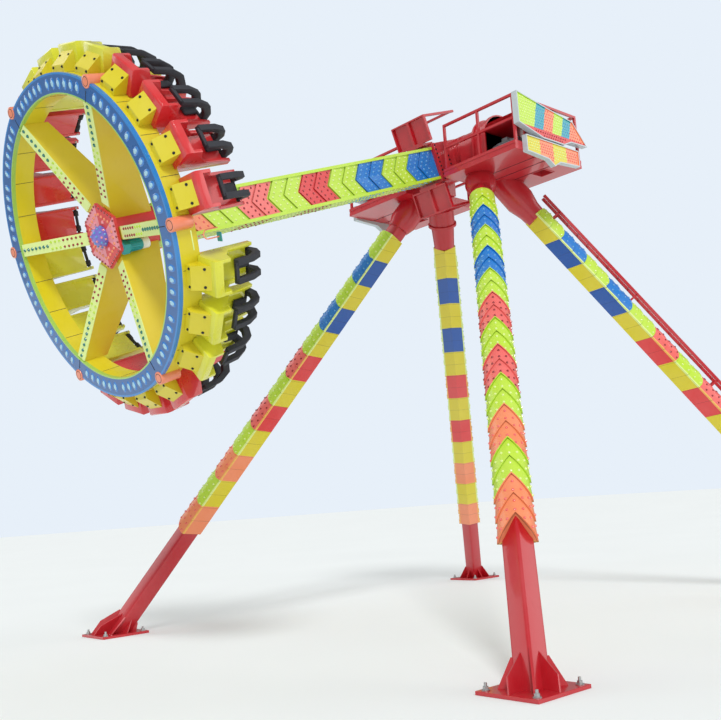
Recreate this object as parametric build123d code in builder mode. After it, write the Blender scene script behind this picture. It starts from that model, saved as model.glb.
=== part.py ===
from build123d import *
import os
from math import atan2, cos, radians, sin, sqrt

os.makedirs("parts", exist_ok=True)

# Giant pendulum ride, in millimetres.  Ground is Z = 0, the swing axle runs
# along Y over the origin, and the ride is drawn with its arm swung out to -X.

# Swing
axle_height = 9200
arm_swing = 70            # degrees from hanging, towards -X
arm_length = 8670         # axle to the light ring
seat_clearance = 5        # gap between parts that move past each other
fit_clearance = 0.3       # gap between parts that seat on each other

# Legs
foot_x = 5110
foot_y = 5310
head_x = 400              # where each leg's axis passes, head_drop below the deck
head_y = 970
head_drop = 220
leg_radius = 220
head_block_width = 640     # tapered block under the deck on the front right leg
head_block_depth = 560
head_block_shift = 100
foot_plate = 940
foot_plate_thickness = 45
anchor_spacing = 760
anchor_radius = 22
gusset_count = 8
gusset_height = 420
gusset_reach = 180
gusset_thickness = 24
leg_heads = {             # (below the deck, radius) of the turned head of each leg
    "front_left": ((0, 235), (110, 300), (260, 315), (400, 285), (500, 225)),
    "front_right": ((0, 260), (400, 260), (600, 225)),
    "rear_left": ((0, 290), (520, 290), (700, 225)),
    "rear_right": ((0, 280), (330, 280), (345, 315), (400, 315), (415, 255), (900, 225)),
}

# Leg cladding
sleeve_width = 500
sleeve_start = 2050       # along the leg from the ground
sleeve_arch = 370         # rise of the pointed arch at the sleeve's lower edge
sleeve_gap = 1026         # bare pipe between the sleeve and the deck
sleeve_gap_front_left = 546
panel_lift = 32           # how far each panel's lower edge stands proud
panel_pitch = 315

# Decks
deck_half_length = 1000
deck_inner = 560
deck_outer = 2450
deck_drop = 580           # deck's top below the axle
deck_depth = 170
deck_floor = 25
hatch_size = 300
rail_radius = 24
rail_height = 920
mid_rail_height = 460

# Bearings and drives
bearing_radius = 420
bearing_inner = 500
bearing_outer = 900
slew_ring_radius = 410
slew_ring_inner = 425
shaft_radius = 160
shaft_end = 860
drive_inner = 960
drive_outer = 1700
drive_half_width = 560
drive_wall_height = 430
drive_arch = 380
drive_rib = 30            # height of the ribs round the housing
drive_rib_width = 50
drive_rib_count = 4
canopy_outer = 2330
canopy_half_width = 560
canopy_eaves = 560
canopy_rise = 260
canopy_thickness = 30
motor_radius = 150
motor_height = 260
motor_spacing = 460
motor_length = 480

# Signs, outlines as (across, above the deck's top)
sign_depth = 110
sign_lower_depth = 90
upper_sign_outline = (
    (-1000, 310),
    (-1000, 940),
    (-110, 800),
    (660, 700),
    (1080, 260),
    (560, 240),
    (330, 140),
    (-310, 140),
)
lower_sign_outline = (
    (-800, 120),
    (800, 120),
    (800, -210),
    (180, -250),
    (0, -360),
    (-180, -250),
    (-800, -210),
)

# Ladder
ladder_half_width = 200
ladder_height = 460       # above the leg's axis
ladder_rail = 32
ladder_start = 2100
ladder_gap = 726          # between the ladder's end and the deck, along the leg
rung_pitch = 300
ladder_bracket_count = 4
ladder_bracket_margin = 475

# Arm
head_half_width = 330
head_half_depth = 400
head_top = 430            # above the axle, along the arm
head_bottom = 1000        # below the axle, along the arm
flange_radius = 430
flange_outer = 420
beam_half_width = 270
beam_half_depth = 270
arm_flange_half_depth = 335
arm_flange_half_width = 300
beam_collar = 110         # round collar between the beam and the hub
arm_flange_thickness = 55
arm_panel_lift = 24
arm_panel_rise = 200      # how far a chevron's point reaches down the arm
arm_panel_count = 18
walkway_level = 1150
walkway_bracket = 850     # upper edge of the bracket on the arm's head
walkway_half_width = 480
walkway_inner = 450
walkway_outer = 980
walkway_thickness = 60
walkway_wall = 30
walkway_floor = 12
walkway_rail = 900

# Gondola, heights measured up the arm from the face of the light ring
ring_radius = 2405
ring_inner = 2105
ring_thickness = 60
drum_height = 300
hub_level = 370
hub_radius = 330
hub_height = 730
hub_plate_radius = 500
hub_plate_thickness = 40
hub_shaft_radius = 170    # shaft that the gondola turns on
hub_shaft_length = 300
spoke_count = 6
spoke_width = 190
spoke_low_rim = 30        # lower edge of a spoke at the ring
spoke_high_rim = 420
spoke_rise = 35           # lower edge of a spoke above the hub's foot
spoke_dip = 20            # upper edge of a spoke below the hub's top
ring_phase = 230.55       # degrees, turn of the gondola about the arm
dome_outline = ((170, 0), (160, 60), (120, 120), (60, 155), (0, 165))
slew_motor_radius = 80
slew_motor_base = 110
slew_motor_top = 820
slew_motor_place = 425    # from the gondola's axis
slew_motor_angle = 270
tube_radius = 140
tube_lip = 12
tube_top = 300

# Seats
full_sectors = (0, 1, 2, 3, 5)
seat_pitch = 15           # degrees
seats_per_sector = 4
short_sector = 4
short_sector_seats = (253, 268, 283)
seat_half_width = 250
seat_base = 310           # underside of the pan
seat_back_inset = 95      # back of the shell inside the ring's outer edge
wing_thickness = 48
pan_outline = (           # (beyond the ring's outer edge, up the arm)
    (375, seat_base),
    (395, 330),
    (395, 430),
    (55, 420),
    (-5, 450),
    (-20, 1110),
    (-95, 1110),
)
wing_outline = (
    (375, seat_base),
    (395, 330),
    (385, 560),
    (215, 620),
    (65, 760),
    (25, 1050),
    (-10, 1220),
    (-105, 1220),
    (-105, 400),
)
pedestal_width = 340
pedestal_base = 120
pedestal_base_depth = 95
pedestal_depth = 285

# Blank panel beside one joint tube
panel_from = 291.3        # degrees
panel_to = 300.5
panel_depth = 155         # beyond the ring's outer edge
panel_low = 170
panel_high = 640

# Restraints
restraint_pivot_inset = 60
restraint_pivot_level = 1170
restraint_spread = 130    # centre of each shoulder pad from the seat's middle
restraint_knuckle = 48
pad_width = 84
restraint_bar = 26
restraint_grip = (299, 716)
restraint_outline = (     # (beyond the ring's outer edge, up the arm)
    (65, 1252),
    (215, 1190),
    (310, 1000),
    (340, 720),
    (260, 700),
    (233, 960),
    (165, 1090),
    (55, 1140),
)

# Heights and lengths that follow from the sizes above
deck_top = axle_height - deck_drop
deck_underside = deck_top - deck_depth
head_z = deck_top - head_drop
leg_length = sqrt((foot_x - head_x) ** 2 + (foot_y - head_y) ** 2 + head_z ** 2)
leg_top = leg_length * deck_underside / head_z
sleeve_end = leg_top - sleeve_gap
ladder_end = leg_top - ladder_gap
hub_top = arm_length - hub_level - hub_height
beam_end = hub_top - beam_collar
spoke_low_hub = hub_level + spoke_rise
spoke_high_hub = hub_level + hub_height - spoke_dip


def leg_plane(side_x, side_y):
    """Plane at a leg's foot: Z up the leg, Y facing outwards and up."""
    foot = Vector(side_x * foot_x, side_y * foot_y, 0)
    head = Vector(side_x * head_x, side_y * head_y, head_z)
    along = (head - foot).normalized()
    sideways = Vector(0, 0, 1).cross(along).normalized()
    return Plane(origin=foot, x_dir=sideways, z_dir=along)


def upright_plane(base, turn, offset):
    """Plane that holds a base plane's Z, turned about it: X outwards, Y along it."""
    angle = radians(turn)
    outwards = base.x_dir * cos(angle) + base.y_dir * sin(angle)
    normal = outwards.cross(base.z_dir)
    return Plane(origin=base.origin + normal * offset, x_dir=outwards, z_dir=normal)


def arm_vector(along, across, level):
    """Point on the arm: along from the axle, across the swing, and level in Y."""
    angle = radians(arm_swing)
    return Vector(
        -along * sin(angle) - across * cos(angle),
        level,
        axle_height - along * cos(angle) + across * sin(angle),
    )


def arm_plane(along):
    """Plane across the arm, with X along the axle and Z up the arm."""
    origin = arm_vector(along, 0, 0)
    return Plane(origin=origin, x_dir=(0, 1, 0), z_dir=arm_vector(0, 0, 0) - arm_vector(1, 0, 0))


def side_plane(level):
    """Plane beside the arm at one Y, with X down the arm and Y across it."""
    origin = arm_vector(0, 0, level)
    down = arm_vector(1, 0, 0) - arm_vector(0, 0, 0)
    across = arm_vector(0, 1, 0) - arm_vector(0, 0, 0)
    return Plane(origin=origin, x_dir=down, z_dir=down.cross(across))


def end_plane(side, level, height):
    """Plane across the axle at the front or rear: Z outwards, Y upwards."""
    return Plane(origin=(0, side * level, height), x_dir=(-side, 0, 0), z_dir=(0, side, 0))


ring_centre = arm_vector(arm_length, 0, 0)
up_arm = (arm_vector(0, 0, 0) - ring_centre).normalized()
gondola_axis = Axis(ring_centre, up_arm)


def radial_vector(angle):
    """Unit vector outwards from the gondola's axis at an angle round it."""
    turn = radians(ring_phase + angle)
    first = Vector(0, 1, 0)
    second = first.cross(up_arm)
    return first * cos(turn) + second * sin(turn)


def radial_plane(angle, offset=0):
    """Plane that holds the gondola's axis: X outwards, Y up the arm."""
    outwards = radial_vector(angle)
    normal = outwards.cross(up_arm)
    return Plane(origin=ring_centre + normal * offset, x_dir=outwards, z_dir=normal)


def ring_plane(level):
    """Plane across the gondola at a height up the arm, X at the first spoke."""
    return Plane(origin=ring_centre + up_arm * level, x_dir=radial_vector(0), z_dir=up_arm)


def past_ring(outline):
    """Outline in a radial plane, from its distances beyond the ring's outer edge."""
    return [(ring_radius + reach, level) for reach, level in outline]


def keep(part, name):
    """Name a finished piece and write its file."""
    part.part.label = name
    export_step(part.part, f"parts/{name}.step")


sides = {
    "front_left": (-1, -1),
    "front_right": (1, -1),
    "rear_left": (-1, 1),
    "rear_right": (1, 1),
}
ends = {"front": -1, "rear": 1}

# Legs: a pipe with a base plate, gussets and a knuckle under the deck
for name, (side_x, side_y) in sides.items():
    plane = leg_plane(side_x, side_y)
    with BuildPart() as leg:
        with BuildSketch(plane.offset(-leg_radius * 2)):
            Circle(leg_radius)
        extrude(amount=leg_top + leg_radius * 4)
        with BuildSketch(upright_plane(plane, 0, 0)):
            with BuildLine():
                Polyline(
                    (0, leg_top + 2 * leg_radius),
                    (leg_heads[name][0][1], leg_top + 2 * leg_radius),
                    *[(radius, leg_top - below) for below, radius in leg_heads[name]],
                    (0, leg_top - leg_heads[name][-1][0]),
                    close=True,
                )
            make_face()
        revolve(axis=Axis(plane.origin, plane.z_dir))
        if name == "front_right":
            with BuildSketch(plane.offset(sleeve_end + fit_clearance)):
                Rectangle(sleeve_width, sleeve_width)
            with BuildSketch(plane.offset(leg_top + 2 * leg_radius)):
                with Locations((0, head_block_shift)):
                    Rectangle(head_block_width, head_block_depth)
            loft()
        for index in range(gusset_count // 2):
            turn = 180 * (index + 0.5) / (gusset_count // 2)
            half_foot = leg_radius + gusset_reach
            with BuildSketch(upright_plane(plane, turn, -gusset_thickness / 2)):
                with BuildLine():
                    Polyline(
                        (-half_foot, -half_foot),
                        (half_foot, -half_foot),
                        (half_foot, foot_plate_thickness),
                        (leg_radius, gusset_height),
                        (-leg_radius, gusset_height),
                        (-half_foot, foot_plate_thickness),
                        close=True,
                    )
                make_face()
            extrude(amount=gusset_thickness)
        split(bisect_by=Plane.XY, keep=Keep.TOP)
        split(bisect_by=Plane.XY.offset(deck_underside), keep=Keep.BOTTOM)
        with BuildSketch(Plane(origin=(side_x * foot_x, side_y * foot_y, 0))):
            Rectangle(foot_plate, foot_plate)
            with GridLocations(anchor_spacing, anchor_spacing, 2, 2):
                Circle(anchor_radius, mode=Mode.SUBTRACT)
        extrude(amount=foot_plate_thickness)
    keep(leg, f"leg_{name}")

# Cladding: a square sleeve round each pipe with a pointed lower edge.  Its outer
# face carries lapped chevron panels, each with its lower edge proud.
panel_slope = atan2(sleeve_arch, sleeve_width / 2)
bracket_step = (ladder_end - ladder_start - 2 * ladder_bracket_margin) / (ladder_bracket_count - 1)
ladder_brackets = [
    ladder_start + ladder_bracket_margin + bracket_step * index for index in range(ladder_bracket_count)
]
for name, (side_x, side_y) in sides.items():
    plane = leg_plane(side_x, side_y)
    end = leg_top - sleeve_gap_front_left if name == "front_left" else sleeve_end
    with BuildPart() as sleeve:
        with BuildSketch(plane.offset(sleeve_start)):
            Rectangle(sleeve_width, sleeve_width)
            Circle(leg_radius + fit_clearance, mode=Mode.SUBTRACT)
        extrude(amount=end - sleeve_start)
        for turn in (0, 90):
            with BuildSketch(upright_plane(plane, turn, -sleeve_width)):
                with BuildLine():
                    Polyline(
                        (-sleeve_width / 2, sleeve_start),
                        (0, sleeve_start + sleeve_arch),
                        (sleeve_width / 2, sleeve_start),
                        close=True,
                    )
                make_face()
            extrude(amount=2 * sleeve_width, mode=Mode.SUBTRACT)
        face = sleeve_width / 2
        for side in (-1, 1):
            with BuildSketch(upright_plane(plane, 90, 0)):
                low = sleeve_start + sleeve_arch
                while low < end:
                    with BuildLine():
                        Polyline((face, low), (face + panel_lift, low), (face, low + panel_pitch), close=True)
                    make_face()
                    low += panel_pitch
            away = plane.x_dir * side * cos(panel_slope) - plane.z_dir * sin(panel_slope)
            extrude(amount=face / cos(panel_slope), dir=away)
        split(bisect_by=plane.offset(end), keep=Keep.BOTTOM)
        if name == "front_right":
            slot = ladder_rail + 2 * fit_clearance
            for along in ladder_brackets:
                with BuildSketch(plane.offset(along - fit_clearance)):
                    with Locations(*[(offset, face + panel_lift) for offset in (-ladder_half_width, ladder_half_width)]):
                        Rectangle(slot, 2 * panel_lift)
                extrude(amount=slot, mode=Mode.SUBTRACT)
    keep(sleeve, f"cladding_{name}")

# Decks: a floor on a rim, with a skin below that has a hatch
for name, side in ends.items():
    deck_middle = side * (deck_inner + deck_outer) / 2
    deck_width = deck_outer - deck_inner
    with BuildPart() as deck:
        with BuildSketch(Plane.XY.offset(deck_underside)):
            with Locations((0, deck_middle)):
                Rectangle(2 * deck_half_length, deck_width)
        extrude(amount=deck_depth)
        with BuildSketch(Plane.XY.offset(deck_underside)):
            with Locations((deck_half_length / 2, side * (deck_outer - 2 * hatch_size))):
                Rectangle(hatch_size, hatch_size)
        extrude(amount=deck_depth - deck_floor, mode=Mode.SUBTRACT)
    keep(deck, f"deck_{name}")

# Railings: posts, a mid rail and a top rail on three sides of each deck
rail_x = deck_half_length - 2 * rail_radius
rail_inner = deck_inner + 2 * rail_radius
rail_outer = deck_outer - rail_radius
for name, side in ends.items():
    with BuildPart() as railing:
        for post_x in (-rail_x, rail_x):
            for fraction in (0, 0.5, 1):
                post_y = side * (rail_inner + (rail_outer - rail_inner) * fraction)
                with BuildSketch(Plane.XY.offset(deck_top)):
                    with Locations((post_x, post_y)):
                        Rectangle(2 * rail_radius, 2 * rail_radius)
                extrude(amount=rail_height)
            for height in (mid_rail_height, rail_height):
                start = Plane(
                    origin=(post_x, side * (rail_inner - rail_radius), deck_top + height),
                    x_dir=(1, 0, 0),
                    z_dir=(0, side, 0),
                )
                with BuildSketch(start):
                    Rectangle(2 * rail_radius, 2 * rail_radius)
                extrude(amount=rail_outer - rail_inner + 2 * rail_radius)
        for height in (mid_rail_height, rail_height):
            start = Plane(
                origin=(-rail_x, side * rail_outer, deck_top + height),
                x_dir=(0, 1, 0),
                z_dir=(1, 0, 0),
            )
            with BuildSketch(start):
                Rectangle(2 * rail_radius, 2 * rail_radius)
            extrude(amount=2 * rail_x)
    keep(railing, f"railing_{name}")

# Bearing housings: an arched block with a bore for the shaft and a fixed ring
drop = axle_height - deck_top
for name, side in ends.items():
    with BuildPart() as bearing:
        with BuildSketch(end_plane(side, bearing_inner, axle_height)):
            Circle(bearing_radius)
            with Locations((0, -drop / 2)):
                Rectangle(2 * bearing_radius, drop)
            Circle(shaft_radius + fit_clearance, mode=Mode.SUBTRACT)
        extrude(amount=bearing_outer - bearing_inner)
        with BuildSketch(end_plane(side, slew_ring_inner, axle_height)):
            Circle(slew_ring_radius)
            Circle(shaft_radius + fit_clearance, mode=Mode.SUBTRACT)
        extrude(amount=bearing_inner - slew_ring_inner)
    keep(bearing, f"bearing_{name}")

# Drive housings: an arched gearbox cover with ribs round it
rib_step = (drive_outer - drive_inner - drive_rib_width) / (drive_rib_count - 1)
body_half = drive_half_width - drive_rib
drive_slices = [(drive_inner, drive_outer - drive_inner, body_half, drive_arch - drive_rib)]
for index in range(drive_rib_count):
    drive_slices.append((drive_inner + index * rib_step, drive_rib_width, drive_half_width, drive_arch))
for name, side in ends.items():
    with BuildPart() as housing:
        for level, width, half, rise in drive_slices:
            with BuildSketch(end_plane(side, level, deck_top)):
                with BuildLine():
                    Line((-half, 0), (-half, drive_wall_height))
                    EllipticalCenterArc((0, drive_wall_height), half, rise, start_angle=0, arc_size=180)
                    Line((half, drive_wall_height), (half, 0))
                    Line((half, 0), (-half, 0))
                make_face()
            extrude(amount=width)
    keep(housing, f"drive_housing_{name}")

# Motor canopies: a roof and an end wall over the motors, open at both sides
inside = canopy_half_width - canopy_thickness
with BuildPart() as canopies:
    for side in ends.values():
        with BuildSketch(end_plane(side, drive_outer + fit_clearance, deck_top)):
            with BuildLine():
                Line((-canopy_half_width, canopy_eaves), (-inside, canopy_eaves))
                EllipticalCenterArc(
                    (0, canopy_eaves), inside, canopy_rise - canopy_thickness, start_angle=0, arc_size=180
                )
                Line((inside, canopy_eaves), (canopy_half_width, canopy_eaves))
                EllipticalCenterArc(
                    (0, canopy_eaves), canopy_half_width, canopy_rise, start_angle=0, arc_size=180
                )
            make_face()
        extrude(amount=canopy_outer - drive_outer)
        with BuildSketch(end_plane(side, canopy_outer - canopy_thickness, deck_top)):
            with Locations((0, canopy_eaves / 2)):
                Rectangle(2 * canopy_half_width, canopy_eaves)
            with Locations((0, canopy_eaves)):
                Ellipse(canopy_half_width, canopy_rise)
            with Locations((0, -canopy_half_width)):
                Rectangle(4 * canopy_half_width, 2 * canopy_half_width, mode=Mode.SUBTRACT)
        extrude(amount=canopy_thickness)
keep(canopies, "motor_canopies")

# Drive motors: two motors side by side at each end, each on its own foot
with BuildPart() as motors:
    for side in ends.values():
        for offset in (-motor_spacing / 2, motor_spacing / 2):
            with BuildSketch(end_plane(side, drive_outer + fit_clearance, deck_top)):
                with Locations((offset, motor_height)):
                    Circle(motor_radius)
                with Locations((offset, motor_height / 2)):
                    Rectangle(motor_radius, motor_height)
            extrude(amount=motor_length)
keep(motors, "drive_motors")

# Signs: an upper light box with a slanted outline and a lower one with a point
sign_back = deck_outer + fit_clearance
for name, outline, depth in (
    ("upper_signs", upper_sign_outline, sign_depth),
    ("lower_signs", lower_sign_outline, sign_lower_depth),
):
    with BuildPart() as signs:
        for side in ends.values():
            with BuildSketch(end_plane(side, sign_back, deck_top)):
                with BuildLine():
                    Polyline(*outline, close=True)
                make_face()
            extrude(amount=depth)
    keep(signs, name)

# Ladder on the front right leg: two rails on stand-offs, with rungs
ladder_plane = leg_plane(1, -1)
with BuildPart() as ladder:
    for offset in (-ladder_half_width, ladder_half_width):
        with BuildSketch(ladder_plane.offset(ladder_start)):
            with Locations((offset, ladder_height)):
                Rectangle(ladder_rail, 2 * ladder_rail)
        extrude(amount=ladder_end - ladder_start)
    rung_count = int((ladder_end - ladder_start) / rung_pitch)
    for index in range(rung_count):
        along = ladder_start + rung_pitch * (index + 0.5)
        with BuildSketch(ladder_plane.offset(along)):
            with Locations((0, ladder_height)):
                Rectangle(2 * ladder_half_width, ladder_rail)
        extrude(amount=ladder_rail)
    for along in ladder_brackets:
        for offset in (-ladder_half_width, ladder_half_width):
            low = sleeve_width / 2 + fit_clearance
            with BuildSketch(ladder_plane.offset(along)):
                with Locations((offset, (low + ladder_height) / 2)):
                    Rectangle(ladder_rail, ladder_height - low)
            extrude(amount=ladder_rail)
keep(ladder, "leg_ladder")

# Arm head: a box with bolted flanges and a stub shaft at each side
with BuildPart() as arm_head:
    with BuildSketch(side_plane(-head_half_width)):
        with Locations(((head_bottom - head_top) / 2, 0)):
            Rectangle(head_bottom + head_top, 2 * head_half_depth)
    extrude(amount=2 * head_half_width)
    with BuildSketch(side_plane(-flange_outer)):
        Circle(flange_radius)
    extrude(amount=2 * flange_outer)
    with BuildSketch(side_plane(-shaft_end)):
        Circle(shaft_radius)
    extrude(amount=2 * shaft_end)
keep(arm_head, "arm_head")

# Arm: a box beam with wide edge flanges
with BuildPart() as arm_beam:
    with BuildSketch(arm_plane(beam_end)):
        Rectangle(2 * beam_half_width, 2 * beam_half_depth)
        for side in (-1, 1):
            with Locations((0, side * (arm_flange_half_depth - arm_flange_thickness / 2))):
                Rectangle(2 * arm_flange_half_width, arm_flange_thickness)
        Rectangle(2 * beam_half_width, 2 * (arm_flange_half_depth - arm_flange_thickness))
    extrude(amount=beam_end - head_bottom - fit_clearance)
    down = arm_vector(1, 0, 0) - arm_vector(0, 0, 0)
    across = arm_vector(0, 1, 0) - arm_vector(0, 0, 0)
    arm_panel_start = head_bottom + fit_clearance + arm_panel_rise
    arm_panel_pitch = (beam_end - arm_panel_start) / arm_panel_count
    arm_panel_half = arm_flange_half_depth - arm_flange_thickness
    arm_panel_slope = atan2(arm_panel_rise, arm_panel_half)
    for side in (-1, 1):
        with BuildSketch(Plane(origin=arm_vector(0, 0, 0), x_dir=down, z_dir=across)):
            for index in range(arm_panel_count):
                low = arm_panel_start + arm_panel_pitch * (index + 1)
                for face in (-1, 1):
                    with BuildLine():
                        Polyline(
                            (low, face * beam_half_width),
                            (low, face * (beam_half_width + arm_panel_lift)),
                            (low - arm_panel_pitch, face * beam_half_width),
                            close=True,
                        )
                    make_face()
        away = across * side * cos(arm_panel_slope) - down * sin(arm_panel_slope)
        extrude(amount=arm_panel_half / cos(arm_panel_slope), dir=away)
    with BuildSketch(arm_plane(hub_top - seat_clearance)):
        Circle(hub_radius)
    extrude(amount=hub_top - seat_clearance - beam_end)
    with BuildSketch(arm_plane(hub_top + hub_shaft_length - seat_clearance)):
        Circle(hub_shaft_radius)
    extrude(amount=hub_shaft_length)
keep(arm_beam, "arm_beam")

# Walkways beside the arm's head, each with a kerb, a cross rib and two posts
with BuildPart() as walkways:
    for across in (-1, 1):
        middle = across * (walkway_inner + walkway_outer) / 2
        depth = walkway_outer - walkway_inner
        with BuildSketch(arm_plane(walkway_level)):
            with Locations((0, middle)):
                Rectangle(2 * walkway_half_width, depth)
        extrude(amount=walkway_thickness)
        with BuildSketch(arm_plane(walkway_level)):
            with Locations((-walkway_half_width / 2, middle), (walkway_half_width / 2, middle)):
                Rectangle(walkway_half_width - 2 * walkway_wall, depth - 2 * walkway_wall)
        extrude(amount=walkway_thickness - walkway_floor, mode=Mode.SUBTRACT)
        with BuildSketch(arm_plane(walkway_level - walkway_thickness)):
            for level in (-walkway_half_width + rail_radius, walkway_half_width - rail_radius):
                with Locations((level, across * (walkway_outer - rail_radius))):
                    Rectangle(2 * rail_radius, 2 * rail_radius)
        extrude(amount=walkway_rail)
        with BuildSketch(arm_plane(walkway_level - walkway_rail)):
            with Locations((0, across * (walkway_outer - rail_radius))):
                Rectangle(2 * walkway_half_width, 2 * rail_radius)
        extrude(amount=-2 * rail_radius)
        seat = (head_half_depth + fit_clearance + walkway_inner) / 2
        with BuildSketch(arm_plane(walkway_level)):
            with Locations((0, across * seat)):
                Rectangle(walkway_half_width, walkway_inner - head_half_depth - fit_clearance)
        extrude(amount=walkway_level - walkway_bracket)
keep(walkways, "walkways")

# Gondola hub: the slewing head that the arm ends on, and the star plate below
with BuildPart() as hub:
    with BuildSketch(ring_plane(hub_level)):
        Circle(hub_radius)
    extrude(amount=hub_height)
    with BuildSketch(ring_plane(hub_level - hub_plate_thickness)):
        RegularPolygon(hub_plate_radius, spoke_count, rotation=180 / spoke_count)
    extrude(amount=hub_plate_thickness)
    with BuildSketch(ring_plane(hub_level + hub_height - hub_shaft_length)):
        Circle(hub_shaft_radius + fit_clearance)
    extrude(amount=hub_shaft_length, mode=Mode.SUBTRACT)
keep(hub, "gondola_hub")

# Lamp dome under the star plate
dome_level = hub_level - hub_plate_thickness
with BuildPart() as dome:
    with BuildSketch(radial_plane(0)):
        with BuildLine():
            Polyline(
                (0, dome_level),
                *[(radius, dome_level - drop) for radius, drop in dome_outline],
                close=True,
            )
        make_face()
    revolve(axis=gondola_axis)
keep(dome, "lamp_dome")

# Slewing motor beside the hub, on a square gearbox
with BuildPart() as slew_motor:
    outwards = radial_vector(slew_motor_angle)
    motor_foot = Plane(
        origin=ring_centre + outwards * slew_motor_place + up_arm * hub_level,
        x_dir=outwards,
        z_dir=up_arm,
    )
    with BuildSketch(motor_foot):
        Rectangle(2 * slew_motor_radius, 2 * slew_motor_radius)
    extrude(amount=slew_motor_base)
    with BuildSketch(motor_foot.offset(slew_motor_base)):
        Circle(slew_motor_radius)
    extrude(amount=slew_motor_top - hub_level - slew_motor_base)
keep(slew_motor, "slew_motor")

# Spokes: deep tapered box arms from the hub to the ring
with BuildPart() as spokes:
    for index in range(spoke_count):
        angle = 360 * index / spoke_count
        with BuildSketch(radial_plane(angle, -spoke_width / 2)):
            with BuildLine():
                Polyline(
                    (hub_radius / 2, spoke_low_hub),
                    (hub_radius, spoke_low_hub),
                    (ring_inner, spoke_low_rim),
                    (ring_inner, spoke_high_rim),
                    (hub_radius, spoke_high_hub),
                    (hub_radius / 2, spoke_high_hub),
                    close=True,
                )
            make_face()
        extrude(amount=spoke_width)
    with BuildSketch(ring_plane(0)):
        Circle(2 * ring_radius)
        Circle(ring_inner - fit_clearance, mode=Mode.SUBTRACT)
        Circle(hub_radius + fit_clearance)
    extrude(amount=2 * spoke_high_hub, mode=Mode.SUBTRACT)
keep(spokes, "spokes")

# Drum: the closed ring wall that carries the seats
drum_top = ring_thickness + drum_height
with BuildPart() as drum:
    with BuildSketch(ring_plane(ring_thickness)):
        Circle(ring_radius)
        Circle(ring_inner, mode=Mode.SUBTRACT)
    extrude(amount=drum_height)
keep(drum, "drum")

# Light ring under the drum
with BuildPart() as light_ring:
    with BuildSketch(ring_plane(0)):
        Circle(ring_radius)
        Circle(ring_inner, mode=Mode.SUBTRACT)
    extrude(amount=ring_thickness)
keep(light_ring, "light_ring")

# Tubes at the joints between the sectors, with a lip over the ring's face
with BuildPart() as tubes:
    for index in range(spoke_count):
        outwards = radial_vector(360 * index / spoke_count)
        centre = ring_centre + outwards * ring_radius - up_arm * (tube_lip + fit_clearance)
        with BuildSketch(Plane(origin=centre, x_dir=outwards, z_dir=up_arm)):
            Circle(tube_radius)
        extrude(amount=tube_lip + tube_top)
    with BuildSketch(ring_plane(-fit_clearance)):
        Circle(ring_radius + fit_clearance)
    extrude(amount=2 * tube_top, mode=Mode.SUBTRACT)
keep(tubes, "joint_tubes")

# Seats stand four to a sector; one sector has three and a blank panel
seat_angles = []
for sector in range(spoke_count):
    if sector in full_sectors:
        for index in range(seats_per_sector):
            seat_angles.append(360 * sector / spoke_count + seat_pitch * (index + 0.5))
    else:
        seat_angles += short_sector_seats

# Seat pedestals: boxes bolted to the drum under each seat
pan_back = ring_radius + fit_clearance
with BuildPart() as pedestals:
    for angle in seat_angles:
        with BuildSketch(radial_plane(angle, -pedestal_width / 2)):
            with BuildLine():
                Polyline(
                    (ring_radius / 2, pedestal_base),
                    (ring_radius + pedestal_base_depth, pedestal_base),
                    (ring_radius + pedestal_depth, seat_base - fit_clearance),
                    (ring_radius / 2, seat_base - fit_clearance),
                    close=True,
                )
            make_face()
        extrude(amount=pedestal_width)
    with BuildSketch(ring_plane(0)):
        Circle(pan_back)
    extrude(amount=seat_base, mode=Mode.SUBTRACT)
keep(pedestals, "seat_pedestals")

# Blank panel: a curved box cut out round the end of the tube beside it
panel_outer = ring_radius + panel_depth
with BuildPart() as joint_panel:
    with BuildSketch(ring_plane(panel_low)):
        with BuildLine():
            reach = panel_to - panel_from
            CenterArc((0, 0), pan_back, -panel_to, reach)
            CenterArc((0, 0), panel_outer, -panel_to, reach)
            for angle in (-panel_from, -panel_to):
                start = Vector(pan_back, 0).rotate(Axis.Z, angle)
                PolarLine(start, panel_outer - pan_back, angle)
        make_face()
    extrude(amount=panel_high - panel_low)
    outwards = radial_vector(360 - 360 / spoke_count)
    with BuildSketch(Plane(origin=ring_centre + outwards * ring_radius, x_dir=outwards, z_dir=up_arm)):
        Circle(tube_radius + fit_clearance)
    extrude(amount=tube_top, mode=Mode.SUBTRACT)
keep(joint_panel, "joint_panel")

# Seats: a moulded shell for each rider, red and yellow by turns of a sector
seat_foot = (
    (ring_radius - seat_back_inset, drum_top + fit_clearance),
    (pan_back, drum_top + fit_clearance),
    (pan_back, seat_base),
)
for colour, turn in {"red": 1, "yellow": 0}.items():
    with BuildPart() as seats:
        for angle in seat_angles:
            if angle * spoke_count // 360 % 2 != turn:
                continue
            with BuildSketch(radial_plane(angle, -seat_half_width)):
                with BuildLine():
                    Polyline(*seat_foot, *past_ring(pan_outline), close=True)
                make_face()
            extrude(amount=2 * seat_half_width)
            for offset in (-seat_half_width, seat_half_width - wing_thickness):
                with BuildSketch(radial_plane(angle, offset)):
                    with BuildLine():
                        Polyline(*seat_foot, *past_ring(wing_outline), close=True)
                    make_face()
                extrude(amount=wing_thickness)
    keep(seats, f"{colour}_seats")

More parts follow.
